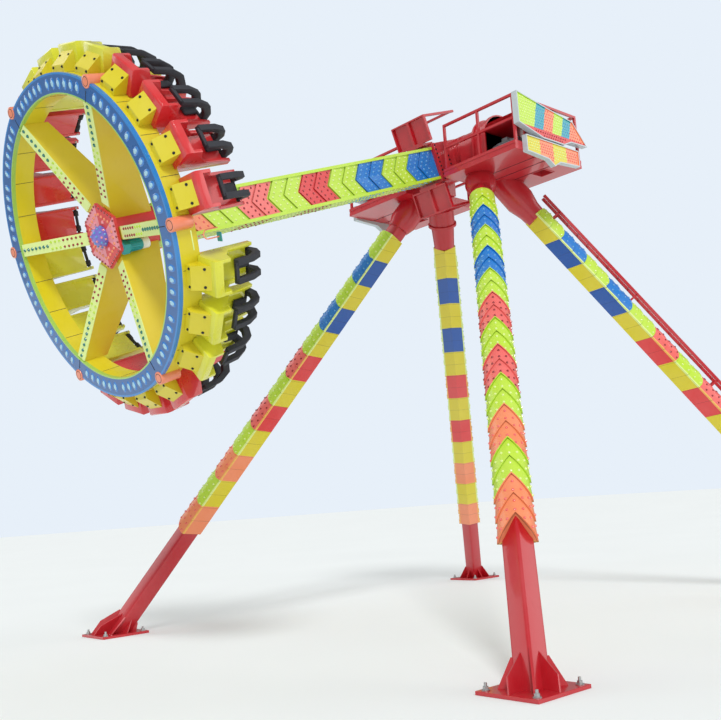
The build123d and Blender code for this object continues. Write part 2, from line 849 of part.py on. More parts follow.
# Restraints: two shoulder pads on a pivot tube, joined by a grip in front
tube_half = seat_half_width - wing_thickness - fit_clearance
pivot_radius = ring_radius - restraint_pivot_inset
for index, angle in enumerate(seat_angles):
    low = (pivot_radius, restraint_pivot_level - restraint_knuckle)
    high = (pivot_radius, restraint_pivot_level + restraint_knuckle)
    back = pivot_radius - restraint_knuckle
    with BuildPart() as restraint:
        for offset in (-restraint_spread - pad_width / 2, restraint_spread - pad_width / 2):
            with BuildSketch(radial_plane(angle, offset)):
                with BuildLine():
                    Polyline(
                        low,
                        (back, restraint_pivot_level - restraint_knuckle / 3),
                        (back, restraint_pivot_level + restraint_knuckle / 3),
                        high,
                        *past_ring(restraint_outline),
                        close=True,
                    )
                make_face()
            extrude(amount=pad_width)
        with BuildSketch(radial_plane(angle, -tube_half)):
            with Locations((pivot_radius, restraint_pivot_level)):
                RegularPolygon(restraint_bar, 8)
        extrude(amount=2 * tube_half)
        with BuildSketch(radial_plane(angle, -restraint_spread)):
            with Locations(*past_ring([restraint_grip])):
                Rectangle(2 * restraint_bar, 2 * restraint_bar)
        extrude(amount=2 * restraint_spread)
    keep(restraint, f"restraint_{index + 1:02d}")
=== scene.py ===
"""Hammer ride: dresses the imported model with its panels, lamps, seats and paint."""
import logging
from dataclasses import dataclass
from enum import Enum
from math import atan2, cos, pi, radians, sin, sqrt
from typing import Iterable, Sequence

import bmesh
import bpy
from mathutils import Matrix, Vector


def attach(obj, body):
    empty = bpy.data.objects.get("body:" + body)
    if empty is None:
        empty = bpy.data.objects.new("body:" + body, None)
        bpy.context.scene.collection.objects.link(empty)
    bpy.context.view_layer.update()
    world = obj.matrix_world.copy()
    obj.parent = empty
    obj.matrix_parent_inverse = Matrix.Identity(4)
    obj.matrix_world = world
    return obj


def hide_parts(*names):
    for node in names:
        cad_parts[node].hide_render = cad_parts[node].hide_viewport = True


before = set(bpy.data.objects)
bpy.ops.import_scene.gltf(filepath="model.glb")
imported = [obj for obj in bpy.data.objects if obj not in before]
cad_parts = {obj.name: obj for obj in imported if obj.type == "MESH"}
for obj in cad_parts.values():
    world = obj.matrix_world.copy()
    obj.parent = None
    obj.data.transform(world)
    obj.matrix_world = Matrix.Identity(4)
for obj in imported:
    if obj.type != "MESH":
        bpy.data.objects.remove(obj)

log = logging.getLogger("hammer_ride")

Colour = tuple[float, float, float]
Point = tuple[float, float, float]
Outline = Sequence[tuple[float, float]]
Material = bpy.types.Material
Socket = bpy.types.NodeSocket
Vert = bmesh.types.BMVert
Edge = bmesh.types.BMEdge
Face = bmesh.types.BMFace


class Tone(Enum):
    """Paint and lamp colours that the ride's pieces name, as they look on a screen."""

    LIME = (0.74, 0.88, 0.22)
    PALE_LIME = (0.88, 0.95, 0.58)
    YELLOW = (0.86, 0.80, 0.08)
    OCHRE = (0.87, 0.78, 0.12)
    PANEL_BLUE = (0.04, 0.47, 0.80)
    PLAIN_BLUE = (0.03, 0.32, 0.66)
    SKY = (0.36, 0.64, 0.87)
    RING_BLUE = (0.03, 0.36, 0.63)
    # A lighter ring blue, painted along the lamp ring's outer edge as a highlight.
    RING_HIGHLIGHT = (0.06, 0.50, 0.80)
    ICE = (0.62, 0.81, 0.89)
    CORAL = (0.93, 0.42, 0.40)
    RED = (0.87, 0.21, 0.22)
    MAROON = (0.60, 0.12, 0.16)
    ORANGE = (0.95, 0.55, 0.37)
    AMBER = (0.95, 0.72, 0.34)
    SALMON = (0.94, 0.53, 0.38)
    PINK = (0.95, 0.58, 0.62)
    STEEL_RED = (0.74, 0.05, 0.12)
    GREEN = (0.08, 0.46, 0.40)
    TEAL = (0.12, 0.64, 0.68)
    WHITE = (0.93, 0.95, 0.95)
    RIM = (0.74, 0.78, 0.80)
    VIOLET = (0.46, 0.42, 0.80)
    SOOT = (0.18, 0.19, 0.22)
    GREY = (0.60, 0.63, 0.66)
    ZINC = (0.76, 0.77, 0.77)
    SHELL_RED = (0.84, 0.13, 0.15)
    SHELL_YELLOW = (0.86, 0.86, 0.16)
    SPRING = (0.62, 0.80, 0.36)

    @property
    def light(self) -> Colour:
        """The screen colour turned into linear light."""
        red, green, blue = (((part + 0.055) / 1.055) ** 2.4 for part in self.value)
        return red, green, blue


Steps = Sequence[tuple[float, Tone]]


@dataclass(frozen=True)
class Place:
    """A right-handed set of axes that a sub-assembly is laid out in."""

    origin: Vector
    x: Vector
    y: Vector
    z: Vector

    def at(self, x: float, y: float, z: float) -> Matrix:
        """Matrix at a point of this place, turned as the place is."""
        point = self.origin + self.x * x + self.y * y + self.z * z
        turn = Matrix((self.x, self.y, self.z)).transposed().to_4x4()
        return Matrix.Translation(point) @ turn

    def axes(self) -> dict[str, Point]:
        """The place as the named values that a band paint takes."""
        return {
            "start_point": tuple(self.origin), "along": tuple(self.z),
            "sideways": tuple(self.x), "outward": tuple(self.y),
        }


def only(kind: type, found: Iterable[object]) -> list:
    """The items of one kind among what a bmesh operator gives back."""
    return [item for item in found if isinstance(item, kind)]


def add_object(name: str, data: bpy.types.ID) -> bpy.types.Object:
    """Puts a new object with some data into the scene."""
    made = bpy.data.objects.new(name, data)
    bpy.context.scene.collection.objects.link(made)
    return made


def ease(mesh: bmesh.types.BMesh, edges: Sequence[Edge], width: float, segments: int = 1) -> list[Face]:
    """Rounds or chamfers some edges and gives back the new faces."""
    return bmesh.ops.bevel(
        mesh, geom=edges, offset=width, offset_type="OFFSET", segments=segments, profile=0.5,
        affect="EDGES", material=-1, clamp_overlap=True,
    )["faces"]


def spin(
    mesh: bmesh.types.BMesh, geom: list, origin: Vector, axis: Vector, angle: float, steps: int,
    merge: bool = False,
) -> dict:
    """Turns some corners and edges about an axis and gives back the operator's result."""
    return bmesh.ops.spin(
        mesh, geom=geom, cent=origin, axis=axis, dvec=(0, 0, 0), angle=angle, steps=steps,
        use_merge=merge, use_duplicate=False,
    )


class Tree:
    """A node tree with short calls to add and join its nodes."""

    def __init__(self, tree: bpy.types.NodeTree) -> None:
        """Holds the tree.

        Args:
            tree: The material's or the group's node tree.
        """
        self.tree = tree

    def node(self, kind: str, settings: dict | None = None, **inputs: object) -> bpy.types.Node:
        """Adds a node.

        Args:
            kind: The node's type, without ShaderNode in front.
            settings: Values of the node's own properties.
            inputs: A value or a socket for each named input, with _ for a space.

        Returns:
            The new node.
        """
        made = self.tree.nodes.new(f"ShaderNode{kind}")
        for key, value in (settings or {}).items():
            setattr(made, key, value)
        for key, value in inputs.items():
            number = key.removeprefix("in")
            socket = made.inputs[int(number)] if number.isdigit() else made.inputs[key.replace("_", " ")]
            if isinstance(value, Socket):
                self.tree.links.new(value, socket)
            else:
                socket.default_value = value
        return made

    def math(self, operation: str, first: object, second: object = 0.0) -> Socket:
        """A Math node's result, from two values or sockets."""
        return self.node("Math", {"operation": operation}, in0=first, in1=second).outputs[0]

    def vector(self, operation: str, first: object, second: object = (0.0, 0.0, 0.0)) -> bpy.types.Node:
        """A Vector Math node, from two vectors or sockets."""
        return self.node("VectorMath", {"operation": operation}, in0=first, in1=second)

    def dot(self, first: object, second: object) -> Socket:
        """The dot product of two vectors or sockets."""
        return self.vector("DOT_PRODUCT", first, second).outputs["Value"]

    def shade(self, colour: object, value: float, saturation: float = 1.0) -> Socket:
        """A colour with its brightness and saturation scaled."""
        return self.node("HueSaturation", Saturation=saturation, Value=value, Color=colour).outputs[0]

    def mix(self, factor: object, first: object, second: object) -> Socket:
        """Colour that goes from the first to the second with the factor."""
        made = self.node("Mix", {"data_type": "RGBA"}, in0=factor, in6=first, in7=second)
        return made.outputs[2]

    def between(self, value: object, low: float, high: float) -> Socket:
        """A mask that is one where the value lies between two limits."""
        above = self.math("GREATER_THAN", value, low)
        return self.math("MULTIPLY", above, self.math("LESS_THAN", value, high))

    def ramp(self, value: object, low: float, high: float, steps: Sequence[tuple[float, Colour]]) -> Socket:
        """Stepped colours along a value.

        Args:
            value: The socket that the colour follows.
            low: The value at the ramp's left end.
            high: The value at the ramp's right end.
            steps: Where each colour starts, lowest first, and the colour.

        Returns:
            The colour socket.
        """
        spread = self.node("MapRange", Value=value, From_Min=low, From_Max=high)
        made = self.node("ValToRGB", Fac=spread.outputs[0])
        made.color_ramp.interpolation = "CONSTANT"
        elements = made.color_ramp.elements
        while len(elements) > 1:
            elements.remove(elements[-1])
        for index, (start, colour) in enumerate(steps):
            where = min(max((start - low) / (high - low), 0.0), 1.0)
            stop = elements[0] if index == 0 else elements.new(where)
            stop.position = where
            stop.color = (*colour, 1.0)
        return made.outputs[0]


def new_group(name: str, vectors: Sequence[str], numbers: Sequence[str]) -> tuple[Tree, dict[str, Socket]]:
    """Starts a shader node group.

    Args:
        name: The group's name.
        vectors: The names of its vector inputs.
        numbers: The names of its number inputs.

    Returns:
        The group's tree and its input sockets by name.
    """
    made = bpy.data.node_groups.new(name, "ShaderNodeTree")
    for label in (*vectors, *numbers):
        kind = "NodeSocketVector" if label in vectors else "NodeSocketFloat"
        made.interface.new_socket(name=label, in_out="INPUT", socket_type=kind)
    source = made.nodes.new("NodeGroupInput")
    return Tree(made), {label: source.outputs[label] for label in (*vectors, *numbers)}


def end_group(tree: Tree, **outputs: Socket) -> bpy.types.NodeTree:
    """Joins a group's results to outputs of the same names.

    Args:
        tree: The group's tree.
        outputs: The socket that each output passes on.

    Returns:
        The finished group.
    """
    for label in outputs:
        tree.tree.interface.new_socket(name=label, in_out="OUTPUT", socket_type="NodeSocketFloat")
    sink = tree.tree.nodes.new("NodeGroupOutput")
    for label, socket in outputs.items():
        tree.tree.links.new(socket, sink.inputs[label])
    return tree.tree


def weathering_group() -> bpy.types.NodeTree:
    """Builds the group for faded paint, rain streaks and orange peel.

    Returns:
        A group with Fade, Streak and Relief outputs.
    """
    tree, given = new_group("Weathering", ["Place"], ["Patch Size", "Grain Size"])
    place = given["Place"]
    patches = tree.node("TexNoise", Vector=place, Scale=given["Patch Size"], Detail=4.0, Roughness=0.6)
    fade = tree.node("MapRange", Value=patches.outputs[0], From_Min=0.35, From_Max=0.7)
    tall = tree.node("Mapping", Vector=place, Scale=(7.0, 7.0, 0.8))
    runs = tree.node("TexNoise", Vector=tall.outputs[0], Scale=1.6, Detail=5.0, Roughness=0.65)
    streak = tree.node("MapRange", Value=runs.outputs[0], From_Min=0.55, From_Max=0.85)
    peel = tree.node("TexNoise", Vector=place, Scale=given["Grain Size"], Detail=2.0)
    return end_group(tree, Fade=fade.outputs[0], Streak=streak.outputs[0], Relief=peel.outputs[0])


def chevron_group() -> bpy.types.NodeTree:
    """Builds the group that measures a place along a beam with chevron bands.

    Returns:
        A group with Level, Band, Lateral and Out outputs, in metres.
    """
    vectors = ["Place", "Start", "Along", "Sideways", "Outward"]
    tree, given = new_group("Chevron Measure", vectors, ["Slope", "Half Width", "Back Slope"])
    offset = tree.vector("SUBTRACT", given["Place"], given["Start"]).outputs[0]
    level = tree.dot(offset, given["Along"])
    lateral = tree.math("ABSOLUTE", tree.dot(offset, given["Sideways"]))
    out = tree.dot(offset, given["Outward"])
    inset = tree.math("MAXIMUM", tree.math("SUBTRACT", given["Half Width"], lateral), 0.0)
    outer = tree.math("GREATER_THAN", out, 0.0)
    slope = tree.node("MapRange", Value=outer, To_Min=given["Back Slope"], To_Max=given["Slope"]).outputs[0]
    band = tree.math("SUBTRACT", level, tree.math("MULTIPLY", inset, slope))
    return end_group(tree, Level=level, Band=band, Lateral=lateral, Out=out)


def seam_group() -> bpy.types.NodeTree:
    """Builds the group that marks the joint lines between repeated panels.

    Returns:
        A group whose Seam output is one on a joint.
    """
    tree, given = new_group("Panel Seams", [], ["Band", "First", "Pitch", "Width"])
    turns = tree.math("DIVIDE", tree.math("SUBTRACT", given["Band"], given["First"]), given["Pitch"])
    near = tree.math("ABSOLUTE", tree.math("SUBTRACT", tree.math("FRACT", turns), 0.5))
    edge = tree.math("MULTIPLY", tree.math("SUBTRACT", 0.5, near), given["Pitch"])
    return end_group(tree, Seam=tree.math("LESS_THAN", edge, given["Width"]))


WEATHERING = weathering_group()
CHEVRONS = chevron_group()
SEAMS = seam_group()


@dataclass(frozen=True)
class Paint:
    """A painted, moulded or cast surface with fade, streaks and orange peel."""

    name: str
    tone: Tone
    roughness: float = 0.32
    metallic: float = 0.0
    coat: float = 0.4
    fade: float = 0.22
    streaks: float = 0.18
    patch_size: float = 1.4
    grain_size: float = 60.0
    relief: float = 0.06

    def start(self) -> tuple[Material, Tree, Socket]:
        """Makes the empty material.

        Returns:
            The material, its tree and its Object coordinates.
        """
        made = bpy.data.materials.new(self.name)
        made.use_nodes = True
        made.node_tree.nodes.clear()
        tree = Tree(made.node_tree)
        return made, tree, tree.node("TexCoord").outputs["Object"]

    def colour(self, tree: Tree, place: Socket) -> object:
        """The paint's colour before weather; a pattern overrides this."""
        return (*self.tone.light, 1.0)

    def material(self) -> Material:
        """Builds the whole material.

        Returns:
            The material, ready for a slot.
        """
        made, tree, place = self.start()
        group = tree.node(
            "Group", {"node_tree": WEATHERING}, Place=place, Patch_Size=self.patch_size,
            Grain_Size=self.grain_size,
        )
        base = self.colour(tree, place)
        pale = tree.shade(base, 1.12, 0.82)
        worn = tree.mix(tree.math("MULTIPLY", group.outputs["Fade"], self.fade), base, pale)
        dark = tree.shade(base, 0.72, 1.05)
        worn = tree.mix(tree.math("MULTIPLY", group.outputs["Streak"], self.streaks), worn, dark)
        rough = tree.math("ADD", tree.math("MULTIPLY", group.outputs["Fade"], 0.14), self.roughness)
        bump = tree.node("Bump", Strength=self.relief, Distance=0.004, Height=group.outputs["Relief"])
        shader = tree.node(
            "BsdfPrincipled", Base_Color=worn, Roughness=rough, Metallic=self.metallic,
            Coat_Weight=self.coat, Coat_Roughness=0.08, Normal=bump.outputs[0],
        )
        sink = tree.node("OutputMaterial")
        made.node_tree.links.new(shader.outputs[0], sink.inputs["Surface"])
        return made


@dataclass(frozen=True)
class Bands(Paint):
    """Paint in chevron bands, brighter on the lamp panels than on the plain sides."""

    start_point: Point = (0.0, 0.0, 0.0)
    along: Point = (0.0, 0.0, 1.0)
    sideways: Point = (1.0, 0.0, 0.0)
    outward: Point = (0.0, 1.0, 0.0)
    slope: float = 1.0
    half_width: float = 0.25
    back_slope: float = 0.0
    low: float = 0.0
    high: float = 1.0
    panel_steps: Steps = ()
    plain_steps: Steps = ()
    strip_steps: Steps = ()
    first: float = 0.0
    pitch: float = 0.3
    strip: float = 0.018
    joint: float = 0.004

    def measure(self, tree: Tree, place: Socket) -> bpy.types.Node:
        """Places the chevron group with this beam's values."""
        return tree.node(
            "Group", {"node_tree": CHEVRONS}, Place=place, Start=self.start_point, Along=self.along,
            Sideways=self.sideways, Outward=self.outward, Slope=self.slope, Half_Width=self.half_width,
            Back_Slope=self.back_slope,
        )

    def steps(self, tree: Tree, band: Socket, steps: Steps) -> Socket:
        """Colours of some bands, each a hair early so that its lapped edge is all one."""
        return tree.ramp(band, self.low, self.high, [(at - 0.003, tone.light) for at, tone in steps])

    def jointed(self, tree: Tree, base: Socket, band: Socket) -> Socket:
        """The bands' colours with dark lines at the panels' joints."""
        seams = tree.node(
            "Group", {"node_tree": SEAMS}, Band=band, First=self.first, Pitch=self.pitch, Width=self.joint,
        )
        return tree.mix(tree.math("MULTIPLY", seams.outputs[0], 0.8), base, tree.shade(base, 0.5))

    def colour(self, tree: Tree, place: Socket) -> object:
        """Band colours, with a strip along the side corners and dark joints."""
        found = self.measure(tree, place)
        band, out = found.outputs["Band"], found.outputs["Out"]
        plain, panels = self.steps(tree, band, self.plain_steps), self.steps(tree, band, self.panel_steps)
        base = tree.mix(tree.math("GREATER_THAN", out, 0.0), plain, panels)
        strip = tree.between(out, -self.strip, self.strip)
        base = tree.mix(strip, base, self.steps(tree, band, self.strip_steps))
        return self.jointed(tree, base, band)


@dataclass(frozen=True)
class BeamBands(Bands):
    """The arm's paint: chevrons on two sides, plain flanges and a steel end."""

    flange: float = 0.279
    end: float = 7.46
    joint: float = 0.005

    def colour(self, tree: Tree, place: Socket) -> object:
        """Chevron bands between the flanges, by the distance across the beam."""
        found = self.measure(tree, place)
        band = found.outputs["Band"]
        panels = self.jointed(tree, self.steps(tree, band, self.panel_steps), band)
        edge = tree.math("GREATER_THAN", found.outputs["Lateral"], self.flange)
        base = tree.mix(edge, panels, (*Tone.LIME.light, 1.0))
        past = tree.math("GREATER_THAN", found.outputs["Level"], self.end)
        short = tree.math("LESS_THAN", band, self.first - self.pitch)
        ends = tree.math("MULTIPLY", tree.math("MAXIMUM", past, short), tree.math("SUBTRACT", 1.0, edge))
        return tree.mix(ends, base, (*Tone.STEEL_RED.light, 1.0))


@dataclass(frozen=True)
class RingPaint(Paint):
    """Paint of the lamp ring, with a pale green band along its inner edge and a painted highlight of lighter
    blue along its outer edge.
    """

    centre: Point = (0.0, 0.0, 0.0)
    axis: Point = (0.0, 0.0, 1.0)
    inner: float = 2.105
    outer: float = 2.405

    def colour(self, tree: Tree, place: Socket) -> object:
        """Ring blue, with its pale green inner edge and a painted highlight at its outer edge, by the
        distance from the axis.
        """
        offset = tree.vector("SUBTRACT", place, self.centre).outputs[0]
        away = tree.vector("CROSS_PRODUCT", offset, self.axis).outputs[0]
        reach = tree.vector("LENGTH", away).outputs["Value"]
        near = tree.math("LESS_THAN", reach, self.inner + 0.022)
        base = tree.mix(near, (*self.tone.light, 1.0), (*Tone.SPRING.light, 1.0))
        # Painted highlight: the outer 30 mm of the ring are a lighter blue, as if lit.
        far = tree.math("GREATER_THAN", reach, self.outer - 0.03)
        return tree.mix(far, base, (*Tone.RING_HIGHLIGHT.light, 1.0))


@dataclass(frozen=True)
class SignPaint(Paint):
    """Slanted colour bars of a light box, over a red foot."""

    steps: Steps = ()
    foot_tone: Tone = Tone.RED
    foot_level: float = 8.9
    lean: float = 0.0

    def colour(self, tree: Tree, place: Socket) -> object:
        """Bars by the distance along the sign, read from its left on both ends."""
        split = tree.node("SeparateXYZ", Vector=place)
        side = tree.math("SIGN", split.outputs["Y"])
        across = tree.math("MULTIPLY", tree.math("MULTIPLY", split.outputs["X"], side), -1.0)
        rise = tree.math("SUBTRACT", split.outputs["Z"], self.foot_level)
        slanted = tree.math("ADD", across, tree.math("MULTIPLY", rise, self.lean))
        bars = tree.ramp(slanted, -1.2, 1.2, [(at, tone.light) for at, tone in self.steps])
        return tree.mix(tree.math("LESS_THAN", rise, 0.0), bars, (*self.foot_tone.light, 1.0))


class Palette:
    """Every finish of the ride, made once."""

    def __init__(self) -> None:
        """Builds the plain materials and keeps an empty table of lamps."""
        def made(name: str, tone: Tone, *values: float) -> Material:
            """A finish from the values of Paint, roughness first."""
            return Paint(name, tone, *values).material()

        self.red_steel = made("red_steel_paint", Tone.STEEL_RED, 0.30, 0.0, 0.5, 0.30, 0.30, 0.9, 45.0, 0.08)
        self.yellow = made("yellow_paint", Tone.YELLOW, 0.34, 0.0, 0.3, 0.25, 0.25, 0.8, 40.0, 0.05)
        self.ochre = made("ochre_paint", Tone.OCHRE, 0.36, 0.0, 0.3, 0.35, 0.2, 0.7, 40.0, 0.05)
        self.lime = made("lime_gelcoat", Tone.LIME, 0.30)
        self.pale_lime = made("pale_lime_strip", Tone.PALE_LIME, 0.30)
        gelcoat = (0.24, 0.0, 0.7, 0.25, 0.12, 2.5, 90.0, 0.04)
        self.shell_red = made("red_gelcoat", Tone.SHELL_RED, *gelcoat)
        self.shell_yellow = made("yellow_gelcoat", Tone.SHELL_YELLOW, *gelcoat)
        self.salmon = made("salmon_gelcoat", Tone.SALMON, 0.28, 0.0, 0.6, 0.3, 0.2, 3.0, 80.0, 0.05)
        self.foam = made("moulded_foam", Tone.SOOT, 0.62, 0.0, 0.0, 0.5, 0.1, 6.0, 420.0, 0.25)
        self.zinc = made("zinc_bolts", Tone.ZINC, 0.38, 0.9, 0.0, 0.4, 0.4, 12.0, 200.0, 0.15)
        # Black bolts. On the seat pedestals this black also stands in as painted shade.
        self.dark_bolt = made("blackened_bolts", Tone.SOOT, 0.45, 0.5, 0.0, 0.4, 0.2, 12.0, 200.0, 0.15)
        self.casting = made("grey_casting", Tone.GREY, 0.5, 0.2, 0.1, 0.4, 0.4, 3.0, 160.0, 0.3)
        self.teal = made("teal_casting_paint", Tone.TEAL, 0.35, 0.1, 0.3, 0.3, 0.2, 4.0, 140.0, 0.15)
        self.rim = made("grey_rim", Tone.RIM, 0.35, 0.0, 0.3, 0.3, 0.3, 2.0, 70.0, 0.05)
        self.white = made("white_trim", Tone.WHITE, 0.35, 0.0, 0.3, 0.3, 0.3, 2.0, 70.0, 0.05)
        self.pink = made("pink_panel", Tone.PINK, 0.3, 0.0, 0.4)
        self.panel_red = made("red_panel", Tone.RED, 0.3, 0.0, 0.4)
        self.violet = made("violet_dome", Tone.VIOLET, 0.2, 0.0, 0.8)
        self.seam = made("dark_seam", Tone.SOOT, 0.6, 0.0, 0.0)
        self.lamps: dict[Tone, Material] = {}

    def lamp(self, tone: Tone) -> Material:
        """Glossy lamp cover in one colour, made when it is first asked for."""
        if tone not in self.lamps:
            name = f"lamp_cover_{tone.name.lower()}"
            self.lamps[tone] = Paint(name, tone, 0.14, 0.0, 0.9, 0.25, 0.08, 9.0, 300.0, 0.05).material()
        return self.lamps[tone]


class Piece:
    """One mesh in the making, with a material slot for each finish."""

    def __init__(self, name: str, *finishes: Material) -> None:
        """Starts an empty mesh.

        Args:
            name: The piece's name.
            finishes: Its materials, in slot order.
        """
        self.name = name
        self.mesh = bmesh.new()
        self.batches: list[bpy.types.Mesh] = []
        self.finishes = list(finishes)

    def rest(self, limit: int = 1500) -> None:
        """Sets the mesh aside once it has grown, so that adding to it stays quick.

        Args:
            limit: How many corners it may have before that.
        """
        if len(self.mesh.verts) > limit:
            self.batches.append(bpy.data.meshes.new(self.name))
            self.mesh.to_mesh(self.batches[-1])
            self.mesh.clear()

    def slot_of(self, finish: Material) -> int:
        """Index of a finish, which is added if it isn't there yet."""
        if finish not in self.finishes:
            self.finishes.append(finish)
        return self.finishes.index(finish)

    def dress(self, verts: Iterable[Vert], index: int) -> None:
        """Gives the faces round some new corners a slot."""
        for vert in verts:
            for face in vert.link_faces:
                face.material_index = index

    def lamp(
        self, place: Matrix, radius: float, height: float, index: int = 0,
        stretch: float = 1.0, sides: int = 8,
    ) -> None:
        """Adds a domed lamp cover that sits half in its panel.

        Args:
            place: Where its foot is, with Z outwards.
            radius: Its radius along Y.
            height: How far it stands proud.
            index: Its material slot.
            stretch: Its length along X as a share of its width.
            sides: Number of facets round it.
        """
        self.rest()
        form = place @ Matrix.Diagonal((radius * stretch, radius, height, 1.0))
        made = bmesh.ops.create_uvsphere(self.mesh, u_segments=sides, v_segments=4, radius=1.0, matrix=form)
        self.dress(made["verts"], index)

    def cone(
        self, place: Matrix, sides: int, radii: tuple[float, float], levels: tuple[float, float], index: int,
    ) -> list[Vert]:
        """Adds a capped cone or cylinder between two levels along a place's Z.

        Args:
            place: The axes that it stands in.
            sides: Number of facets round it.
            radii: Its radius at each level.
            levels: Where it starts and ends.
            index: Its material slot.

        Returns:
            Its corners.
        """
        low, high = levels
        made = bmesh.ops.create_cone(
            self.mesh, cap_ends=True, segments=sides, radius1=radii[0], radius2=radii[1],
            depth=high - low, matrix=place @ Matrix.Translation((0, 0, (low + high) / 2)),
        )
        self.dress(made["verts"], index)
        return made["verts"]

    def bolt(self, place: Matrix, radius: float, height: float, index: int = 0) -> None:
        """Adds a hexagon bolt head on a washer, with Z outwards."""
        self.rest()
        washer = height * 0.25
        self.cone(place, 12, (radius * 1.45, radius * 1.45), (0.0, washer), index)
        self.cone(place, 6, (radius, radius * 0.94), (washer, height), index)

    def bar(self, place: Matrix, size: tuple[float, float, float], index: int = 0, edge: float = 0.0) -> None:
        """Adds a bar with eased edges, centred at a place.

        Args:
            place: The bar's middle and its axes.
            size: Its length along each axis.
            index: Its material slot.
            edge: Width of its eased edges, or nothing for a share of its thickness.
        """
        self.rest()
        made = bmesh.ops.create_cube(self.mesh, size=1.0, matrix=place @ Matrix.Diagonal((*size, 1.0)))
        edges = list({link for vert in made["verts"] for link in vert.link_edges})
        self.dress(made["verts"], index)
        for face in ease(self.mesh, edges, edge or min(size) * 0.2):
            face.material_index = index

    def drum(
        self, place: Matrix, radius: float, length: float, index: int = 0, sides: int = 24, edge: float = 0.0,
    ) -> None:
        """Adds a capped cylinder from a place along its Z, with an eased rim."""
        verts = self.cone(place, sides, (radius, radius), (0.0, length), index)
        if edge:
            caps = {face for vert in verts for face in vert.link_faces if len(face.verts) == sides}
            rims = list({link for face in caps for link in face.edges})
            for face in ease(self.mesh, rims, edge, 2):
                face.material_index = index

    def sheet(self, place: Place, outline: Outline, level: float, depth: float, index: int = 0) -> Face:
        """Adds a flat plate with an outline of its own.

        Args:
            place: The axes that the outline is drawn in.
            outline: Its corners in X and Y.
            level: Where its back lies along Z.
            depth: Its thickness along Z.
            index: Its material slot.

        Returns:
            The plate's front face.
        """
        corners = [self.mesh.verts.new(place.at(x, y, level).translation) for x, y in outline]
        face = bmesh.ops.contextual_create(self.mesh, geom=corners)["faces"][0]
        if face.normal.dot(place.z) < 0:
            face.normal_flip()
        grown = bmesh.ops.extrude_face_region(self.mesh, geom=[face])["geom"]
        bmesh.ops.translate(self.mesh, verts=only(Vert, grown), vec=place.z * depth)
        self.dress(corners + only(Vert, grown), index)
        return only(Face, grown)[0]

    def turned(self, place: Place, profile: Outline, index: int = 0, sides: int = 36) -> None:
        """Adds a turned form about a place's Z.

        Args:
            place: The axes that the profile is drawn in.
            profile: Radius and height of each corner, from the axis back to it.
            index: Its material slot.
            sides: Facets round it.
        """
        before = set(self.mesh.faces)
        corners = [self.mesh.verts.new(place.at(radius, 0, along).translation) for radius, along in profile]
        links = [self.mesh.edges.new(pair) for pair in zip(corners, corners[1:])]
        spin(self.mesh, corners + links, place.origin, place.z, 2 * pi, sides, True)
        bmesh.ops.remove_doubles(self.mesh, verts=self.mesh.verts[:], dist=0.00002)
        made = [face for face in self.mesh.faces if face not in before]
        bmesh.ops.recalc_face_normals(self.mesh, faces=made)
        for face in made:
            face.material_index = index

    def gather(self) -> None:
        """Takes the set-aside parts back into the mesh."""
        for batch in self.batches:
            self.mesh.from_mesh(batch)
            bpy.data.meshes.remove(batch)
        self.batches.clear()

    def trim(self, height: float, above: bool) -> None:
        """Cuts the mesh off at a height and closes the cut.

        Args:
            height: Where the level cut lies.
            above: True to drop what is above it.
        """
        everything = self.mesh.verts[:] + self.mesh.edges[:] + self.mesh.faces[:]
        cut = bmesh.ops.bisect_plane(
            self.mesh, geom=everything, dist=0.00001, plane_co=(0, 0, height), plane_no=(0, 0, 1),
            clear_outer=above, clear_inner=not above,
        )
        bmesh.ops.edgeloop_fill(self.mesh, edges=only(Edge, cut["geom_cut"]))

    def trim_along(self, place: Place, level: float) -> None:
        """Cuts off what lies beyond a level along a place's Z, set-aside parts too.

        Args:
            place: The axes that the level is measured in.
            level: Where the cut lies along Z.
        """
        self.gather()
        everything = self.mesh.verts[:] + self.mesh.edges[:] + self.mesh.faces[:]
        bmesh.ops.bisect_plane(
            self.mesh, geom=everything, dist=0.00001, plane_co=place.origin + place.z * (level + 0.0001),
            plane_no=place.z, clear_outer=True,
        )

    def finish(
        self, body: str, slot: str, replaces: Sequence[str] = (), smooth: float = 40.0,
    ) -> bpy.types.Object:
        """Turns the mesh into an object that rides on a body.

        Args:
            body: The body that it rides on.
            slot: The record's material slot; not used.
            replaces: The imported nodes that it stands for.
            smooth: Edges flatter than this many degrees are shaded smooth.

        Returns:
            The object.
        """
        self.gather()
        self.mesh.normal_update()
        data = bpy.data.meshes.new(self.name)
        self.mesh.to_mesh(data)
        self.mesh.free()
        for finish in self.finishes:
            data.materials.append(finish)
        data.polygons.foreach_set("use_smooth", [True] * len(data.polygons))
        data.set_sharp_from_angle(angle=radians(smooth))
        made = add_object(self.name, data)
        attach(made, body)
        if replaces:
            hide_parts(*replaces)
        log.info("%s: %d faces on %s", self.name, len(data.polygons), body)
        return made


def rounded_copy(piece: Piece, node: str, index: int, edge: float, segments: int) -> None:
    """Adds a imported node's shape with its sharp edges rounded.

    Args:
        piece: The piece that gets the shape.
        node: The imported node.
        index: The material slot of its faces.
        edge: The radius at its edges.
        segments: Facets across each rounded edge.
    """
    shape = bmesh.new()
    shape.from_mesh(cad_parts[node].data)
    bmesh.ops.remove_doubles(shape, verts=shape.verts[:], dist=0.00005)
    bmesh.ops.dissolve_limit(shape, angle_limit=radians(2.0), verts=shape.verts[:], edges=shape.edges[:])
    closed = [link for link in shape.edges if len(link.link_faces) == 2]
    ease(shape, [link for link in closed if link.calc_face_angle() > radians(24)], edge, segments)
    for face in shape.faces:
        face.material_index = index
    rounded = bpy.data.meshes.new("rounded")
    shape.to_mesh(rounded)
    shape.free()
    piece.mesh.from_mesh(rounded)
    bpy.data.meshes.remove(rounded)


